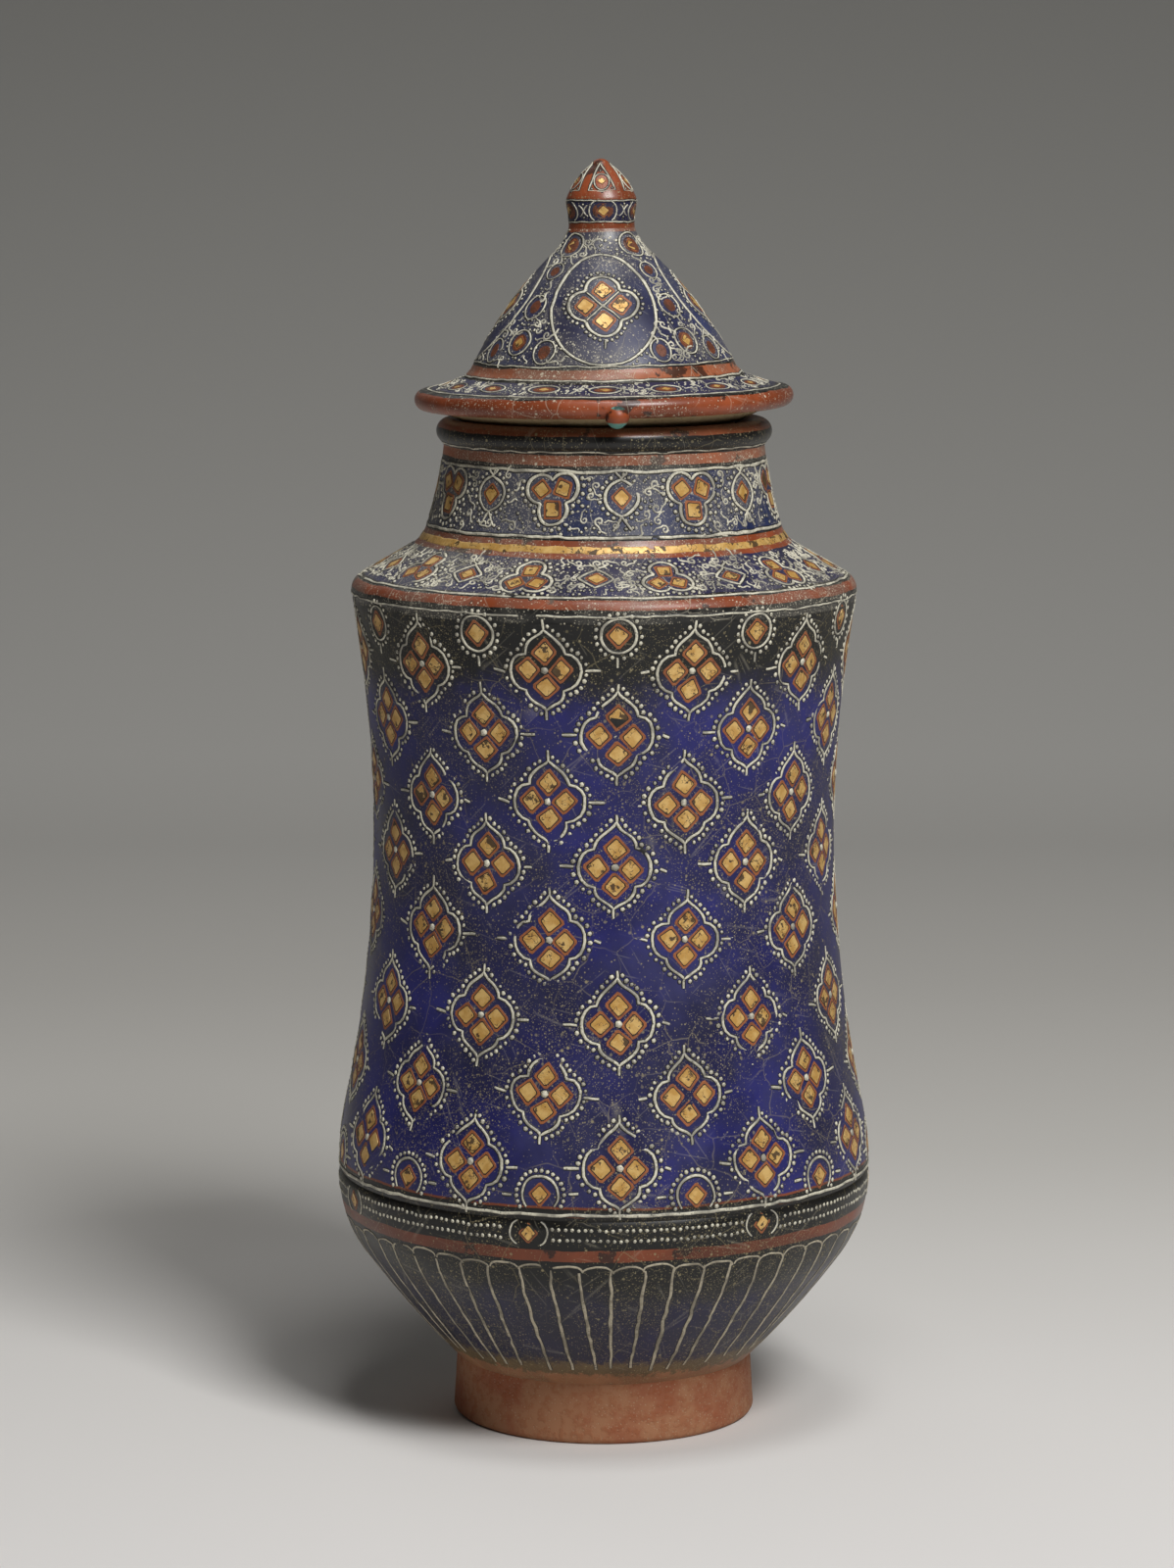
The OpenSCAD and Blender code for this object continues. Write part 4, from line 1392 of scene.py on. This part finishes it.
# %% [markdown]
# ## Neck and shoulder
# Both carry trefoils of three gold squares, which stand on one leg on the neck and on two on the shoulder,
# with single squares in pointed cartouches between them. Curls and dots fill what is left. The gold band
# lies in the hollow where neck and shoulder meet.

# %% Trefoils, cartouches and curls
TREFOIL_SQUARES = [(3.35, -0.2), (3.45, 0.38), (3.6, 0.75)]
SPRIG_TRIES = 9000


def trefoil(name, flip, bead_top):
    """Three lobes round three squares: two above and one below, or the other way up.

    No bead lies above bead_top.
    """
    centres = [Vector((x, y * flip)) for x, y in ((-3.5, 2.9), (3.5, 2.9), (0, -3.5))]
    outline = lobed(centres, 4.3)
    beads = dotted(beads_round(outline, 1.6, 1.85), 1.4)
    beads += dotted([p for p in beads_round(outline, 3.4, 2.1) if p.x > 1.5], 1.25)
    beads = [bead for bead in beads if bead[1] < bead_top]
    squares = [(c.x * 0.95, c.y * 0.95, size, size, turn)
               for c, (size, turn) in zip(centres, TREFOIL_SQUARES)]
    return Motif(name, [(outline, 1.1, True)], beads, squares)


def curl(side, turns=1.2, r0=0.3, r1=1.45, n=11):
    """A small spiral with a tail, turning one way or the other."""
    spiral = []
    for i in range(n + 1):
        a = 2 * math.pi * turns * i / n
        r = r0 + (r1 - r0) * i / n
        spiral.append(Vector((side * r * math.cos(a), r * math.sin(a))))
    return spiral + [spiral[-1] + Vector((-0.6 * side, 1.5)), spiral[-1] + Vector((-1.9 * side, 2.2))]


neck_trefoil, shoulder_trefoil = trefoil("neck_trefoil", 1, 6.8), trefoil("shoulder_trefoil", -1, 8.6)
almond = both_sides(bezier((0, 5.4), (6.6, 2.9), (6.6, -2.9), (0, -5.4), 12))
legs = pair(dense([(0, -5.4), (2.6, -9.6)], 1.2), 0.9)
legs += pair(bezier((0, 5.4), (0.2, 6.8), (1.9, 6.4), (1.5, 7.8), 5), 0.8)
beads = dotted(beads_round(almond, 1.5, 1.8), 1.3)
neck_almond = Motif("neck_almond", [(almond, 1.0, True)] + legs, beads, [(0, 0, 3.2, 3.5, 0)])
upper_side = bezier((0, 4.4), (1.4, 3.2), (4.0, 1.6), (5.0, 0), 5)
lower_side = bezier((5.0, 0), (4.0, -1.6), (1.4, -3.2), (0, -4.4), 5)
diamond = both_sides(upper_side + lower_side[1:])
horns = pair(bezier((0, 4.4), (0.4, 6.0), (2.2, 5.6), (2.4, 7.2), 5), 0.8)
shoulder_single = Motif("shoulder_single", [(diamond, 0.85, True)] + horns, [], [(0, 0, 3.4, 2.9, 0)])
hook = bezier((-1.5, -1.2), (0.8, -2.2), (-0.8, 2.2), (1.5, 1.3), 8)
sprigs = [Motif(f"curl_{side}", [(curl(side), 0.7, False)], edging=0.0) for side in (-1, 1)]
sprigs.append(Motif("hook", [(hook, 0.7, False)], edging=0.0))
sprigs.append(Motif("three_dots", beads=[(-1.1, 0, 1.0), (0.7, 0.9, 0.9), (0.5, -1.0, 0.8)]))
sprigs.append(Motif("two_dots", beads=[(-0.9, 0.2, 1.05), (0.9, -0.2, 0.95)]))


def sprinkle(zone, taken, spacing, band, scale=1.0, wear=0.4):
    """Fills a band with curls, hooks and dots wherever no figure stands.

    taken holds the figures as (place, radius in mm).
    """
    wall = zone.wall
    kept = []
    waiting = [[] for _ in sprigs]
    for _ in range(SPRIG_TRIES):
        z = hand.uniform(*band)
        run, radius = wall.along(z)
        degrees = hand.uniform(-180, 180)

        def apart(other_run, other_degrees):
            turn = math.radians((degrees - other_degrees + 180) % 360 - 180)
            return math.hypot(turn * radius, run - other_run)

        free = all(apart(wall.along(p.z)[0] + p.dy, p.degrees + math.degrees(p.dx / radius)) > room
                   for p, room in taken)
        if free and all(apart(*other) > spacing for other in kept):
            kept.append((run, degrees))
            size = hand.uniform(0.75, 1.1) * scale
            turn = hand.uniform(-math.pi, math.pi)
            hand.choice(waiting).append(Place(degrees, z, size=size, turn=turn))
    for sprig, places in zip(sprigs, waiting):
        if places:
            sprig.lay(zone, places, wear)
    print(zone.name, "sprigs:", len(kept))


# %% The neck
NECK_FRONT = [-64.8, -18.0, 30.7, 77.7]
NECK_BACK = 4
TREFOIL_Z, ALMOND_Z = 279.2, 279.6

gap = (360 - NECK_FRONT[-1] + NECK_FRONT[0]) / (NECK_BACK + 1)
turns = NECK_FRONT + [NECK_FRONT[-1] + gap * (i + 1) for i in range(NECK_BACK)]
middles = [(a + b) / 2 for a, b in zip(turns, turns[1:] + [turns[0] + 360])]
trefoils = [Place(a, TREFOIL_Z, hand.gauss(0, 0.2), hand.gauss(0, 0.2), hand.uniform(0.97, 1.03),
                  hand.gauss(0, 0.04)) for a in turns]
almonds = [Place(a, ALMOND_Z, hand.gauss(0, 0.2), hand.gauss(0, 0.2), hand.uniform(0.96, 1.04))
           for a in middles]
neck_trefoil.lay(NECK, trefoils, 0.6)
neck_almond.lay(NECK, almonds, 0.6)
taken = [(p, 11.0) for p in trefoils] + [(p, 7.9) for p in almonds]
sprinkle(NECK, taken, 2.6, (270.4, 285.4))
for name, z, width in (("neck_line_low", 268.4, 1.05), ("neck_line_high", 287.0, 1.1),
                       ("rim_line", 292.4, 1.0)):
    ring_line(name, NECK, z, width)
ring_line("gold_band", NECK, 265.0, 2.9, 0.2, gold_leaf, "gold_leaf", 0.0, 0.1)

# %% The shoulder
SHOULDER_COUNT, SHOULDER_PHASE, THREES_Z, SINGLES_Z = 10, -20.0, 258.0, 257.8

trefoils = ring_of(SHOULDER_COUNT, SHOULDER_PHASE, THREES_Z, 0.25, size=0.95)
singles = ring_of(SHOULDER_COUNT, SHOULDER_PHASE + 180 / SHOULDER_COUNT, SINGLES_Z, 0.25)
shoulder_trefoil.lay(NECK, trefoils, 0.6)
shoulder_single.lay(NECK, singles, 0.5)
taken = [(p, 9.6) for p in trefoils] + [(p, 5.6) for p in singles]
sprinkle(NECK, taken, 2.1, (254.6, 262.0))
ring_line("shoulder_line_high", NECK, 253.3, 1.0, 0.5)

# %% [markdown]
# ## The lid
# Four large medallions stand round the bell, each a ring with four round lobes inside it. Small red and gold
# eggs and white scrolls crowd the ground between them. The brim carries ovals, and the knob has a blue band
# with gold lozenges and a red bud with pointed panels.

# %% Medallions of the bell
MEDALLIONS, MEDALLION_PHASE, MEDALLION_Z = 4, -0.5, 332.6
LOBE_FAR, LOBE_R = 5.2, 5.0
MEDALLION_CLEAR = ((0.0, 17.6), (-5.6, 14.6), (5.6, 13.2))

circle = both_sides(bezier((0, 18.8), (6.6, 18.8), (15.7, 6.5), (15.7, -3.5), 11)
                    + bezier((15.7, -3.5), (15.7, -12.5), (9.2, -19.4), (0, -19.4), 11)[1:])
lobes = [(LOBE_FAR, 0), (-LOBE_FAR, 0), (0, LOBE_FAR), (0, -LOBE_FAR)]
outline = lobed(lobes, LOBE_R)
cross = [(dense([(-4.7, -4.7 * s), (4.7, 4.7 * s)], 1.5), 0.6, False) for s in (-1, 1)]
stem = [(dense([(0, -11.2), (0, -14.2)], 1.2), 0.6, False)]
beads = dotted(beads_round(outline, 1.4, 1.6), 1.1) + [(0, 0, 1.5)]
squares = [(x * 0.98, y * 0.98, 3.65, 3.65, 0.06) for x, y in lobes]
medallion = Motif("medallion", [(circle, 0.9, True), (outline, 0.95, True)] + cross + stem, beads, squares)
medallions = ring_of(MEDALLIONS, MEDALLION_PHASE, MEDALLION_Z, 0.15)
medallion.lay(LID, medallions, 0.25)


# %% Eggs and scrolls between the medallions
def rounded(wide, high, n=18):
    """An oval by its half widths."""
    turns = [2 * math.pi * i / n for i in range(n)]
    return [Vector((wide * math.cos(a), -high * math.sin(a))) for a in turns]


gold_egg = Motif("gold_egg", [(rounded(3.9, 4.3, 24), 0.6, True)], [], [(0, 0, 2.2, 2.5, 0)],
                 spots=[rounded(2.6, 3.0)])
red_egg = Motif("red_egg", [(rounded(2.9, 3.3, 20), 0.45, True)], spots=[rounded(1.6, 1.9)])
gaps = ring_of(MEDALLIONS, MEDALLION_PHASE + 180 / MEDALLIONS, MEDALLION_Z, 0.2)
gold_eggs = [Place(gap.degrees, z) for gap in gaps for z in (322.2, 349.2)]
red_eggs = [Place(gap.degrees, z, dx, 0, size) for gap in gaps for z, dx, size in (
    (319.8, -10.4, 1.15), (319.8, 10.4, 1.15), (332.2, 0.0, 1.25), (342.2, 0.0, 0.95))]
gold_egg.lay(LID, gold_eggs, 0.5)
red_egg.lay(LID, red_eggs, 0.6)
taken = [(Place(p.degrees, p.z + rise), reach) for p in medallions for rise, reach in MEDALLION_CLEAR]
taken += [(p, 5.0) for p in gold_eggs] + [(p, 3.9) for p in red_eggs]
sprinkle(LID, taken, 2.0, (316.9, 351.8), 0.97, 0.3)

# %% Brim
BRIM_COUNT, BRIM_PHASE, BRIM_TOP_Z = 16, 0.3, 309.4
brim_oval = Motif("brim_oval", [(rounded(4.6, 2.5, 22), 0.55, True)], [], [(0, 0, 2.2, 1.3, 0)],
                  spots=[rounded(3.4, 1.7)])
ovals = ring_of(BRIM_COUNT, BRIM_PHASE, BRIM_TOP_Z, 0.2)
brim_oval.lay(LID, ovals, 0.4)
sprinkle(LID, [(p, 5.2) for p in ovals], 1.7, (308.4, 310.8), 0.6)
for name, z, width in (("brim_line", 307.85, 0.7), ("bell_line", 311.75, 0.7),
                       ("bell_line_high", 315.7, 0.5)):
    ring_line(name, LID, z, width)

# %% Knob
STEM_COUNT, STEM_PHASE, CROSS_PHASE, STEM_Z = 5, 4.0, 40.0, 359.3
PANEL_COUNT, PANEL_PHASE, PANEL_Z = 5, 1.5, 368.2
KNOB_LINE_W = 0.35

stem_motif = Motif("stem_figure", pair(arc((0.9, 0), 3.2, -60, 60, 0.8), 0.45), [], [(0, 0, 2.2, 2.0, 0)],
                   edging=0.0, spots=[rounded(3.2, 2.4)])
stem_motif.lay(LID, ring_of(STEM_COUNT, STEM_PHASE, STEM_Z, 0.1), 0.3, 0.15)
crossed = [(bezier((-1.3, -1.6 * s), (0.4, -0.6 * s), (-0.4, 0.6 * s), (1.3, 1.6 * s), 6), 0.4, False)
           for s in (-1, 1)]
knob_cross = Motif("knob_cross", crossed, [(0, 1.9, 0.6), (0, -1.9, 0.6)], [], edging=0.0)
knob_cross.lay(LID, ring_of(STEM_COUNT, CROSS_PHASE, STEM_Z, 0.1), 0.3, 0.15)
side = bezier((0, 7.0), (0.8, 5.0), (2.9, 0.0), (4.1, -3.4), 7)
panel = both_sides(side + [Vector((0, -3.8))])
spot = [p + Vector((0, -0.4)) for p in rounded(2.3, 2.9)]
corner_dots = [(3.0, -2.8, 0.55), (-3.0, -2.8, 0.55), (0, 3.8, 0.6)]
bud_panel = Motif("bud_panel", [(panel, 0.45, True), (spot, 0.35, True)], corner_dots,
                  [(0, -0.2, 1.5, 1.5, 0)])
bud_panel.lay(LID, ring_of(PANEL_COUNT, PANEL_PHASE, PANEL_Z, 0.1), 0.3, 0.12)
for name, z in (("knob_line_low", 356.2), ("knob_line_mid", 362.4)):
    ring_line(name, LID, z, KNOB_LINE_W, 0.5)

# %% [markdown]
# ## The drop of glaze
# Under the front of the brim hangs a bead where the red enamel ran and froze in the kiln, turquoise at its
# foot where copper gathered in it, and turquoise on its top as a painted glint. A ball pulled out at its
# foot is enough, with its place taken from the CAD node.

# %% The drop
DROP_R, DROP_DEGREES, DROP_AT_R, DROP_Z = 3.3, 3.7, 54.9, lid_z + 2.6
DROP_WIDE, NARROWS_X, NARROWS_Y = 1.06, 0.16, 0.12
drop_mesh = bpy.data.meshes.new("glaze_drop")
shape = bmesh.new()
bmesh.ops.create_uvsphere(shape, u_segments=28, v_segments=18, radius=DROP_R * MM)
turn = math.radians(DROP_DEGREES)
centre = Vector((DROP_AT_R * math.sin(turn), -DROP_AT_R * math.cos(turn), DROP_Z)) * MM
for vert in shape.verts:
    droop = max(0.0, -vert.co.z / (DROP_R * MM))
    vert.co.x *= DROP_WIDE - NARROWS_X * droop
    vert.co.y *= 1.0 - NARROWS_Y * droop
    vert.co = lean.to_matrix() @ (vert.co + centre) + lean_shift
shape.to_mesh(drop_mesh)
shape.free()
drop_mesh.shade_smooth()
drop_mesh.materials.append(drop_glaze)
glaze_drop = bpy.data.objects.new("glaze_drop", drop_mesh)
scene.collection.objects.link(glaze_drop)
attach(glaze_drop, "lid")
print("drop at", [round(v / MM, 1) for v in centre], "mm")

# %% [markdown]
# ## Gathering the painting
# The marks of one zone and one paint become one piece, which rides on its body. The flat stamps and the
# lines of the walls have done their work and go.


def gathered(name, parts):
    """Several painted objects as one, with each face's own finish."""
    whole, finishes, worn = bmesh.new(), [], []
    for part in parts:
        whole.from_mesh(part.data)
        for face in part.data.polygons:
            finish = part.data.materials[face.material_index]
            if finish not in finishes:
                finishes.append(finish)
            worn.append(finishes.index(finish))
    made = bpy.data.meshes.new(name)
    whole.to_mesh(made)
    whole.free()
    for finish in finishes:
        made.materials.append(finish)
    made.polygons.foreach_set("material_index", worn)
    for part in parts:
        bpy.data.objects.remove(part)
    piece = bpy.data.objects.new(name, made)
    scene.collection.objects.link(piece)
    return piece


for (zone, layer, body), parts in painted_layers.items():
    piece = gathered(f"{zone}_{layer}", parts)
    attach(piece, body)
    triangles = sum(len(face.vertices) - 2 for face in piece.data.polygons)
    print(f"{piece.name}: {triangles} triangles")
for done in scaffold:
    bpy.data.objects.remove(done)
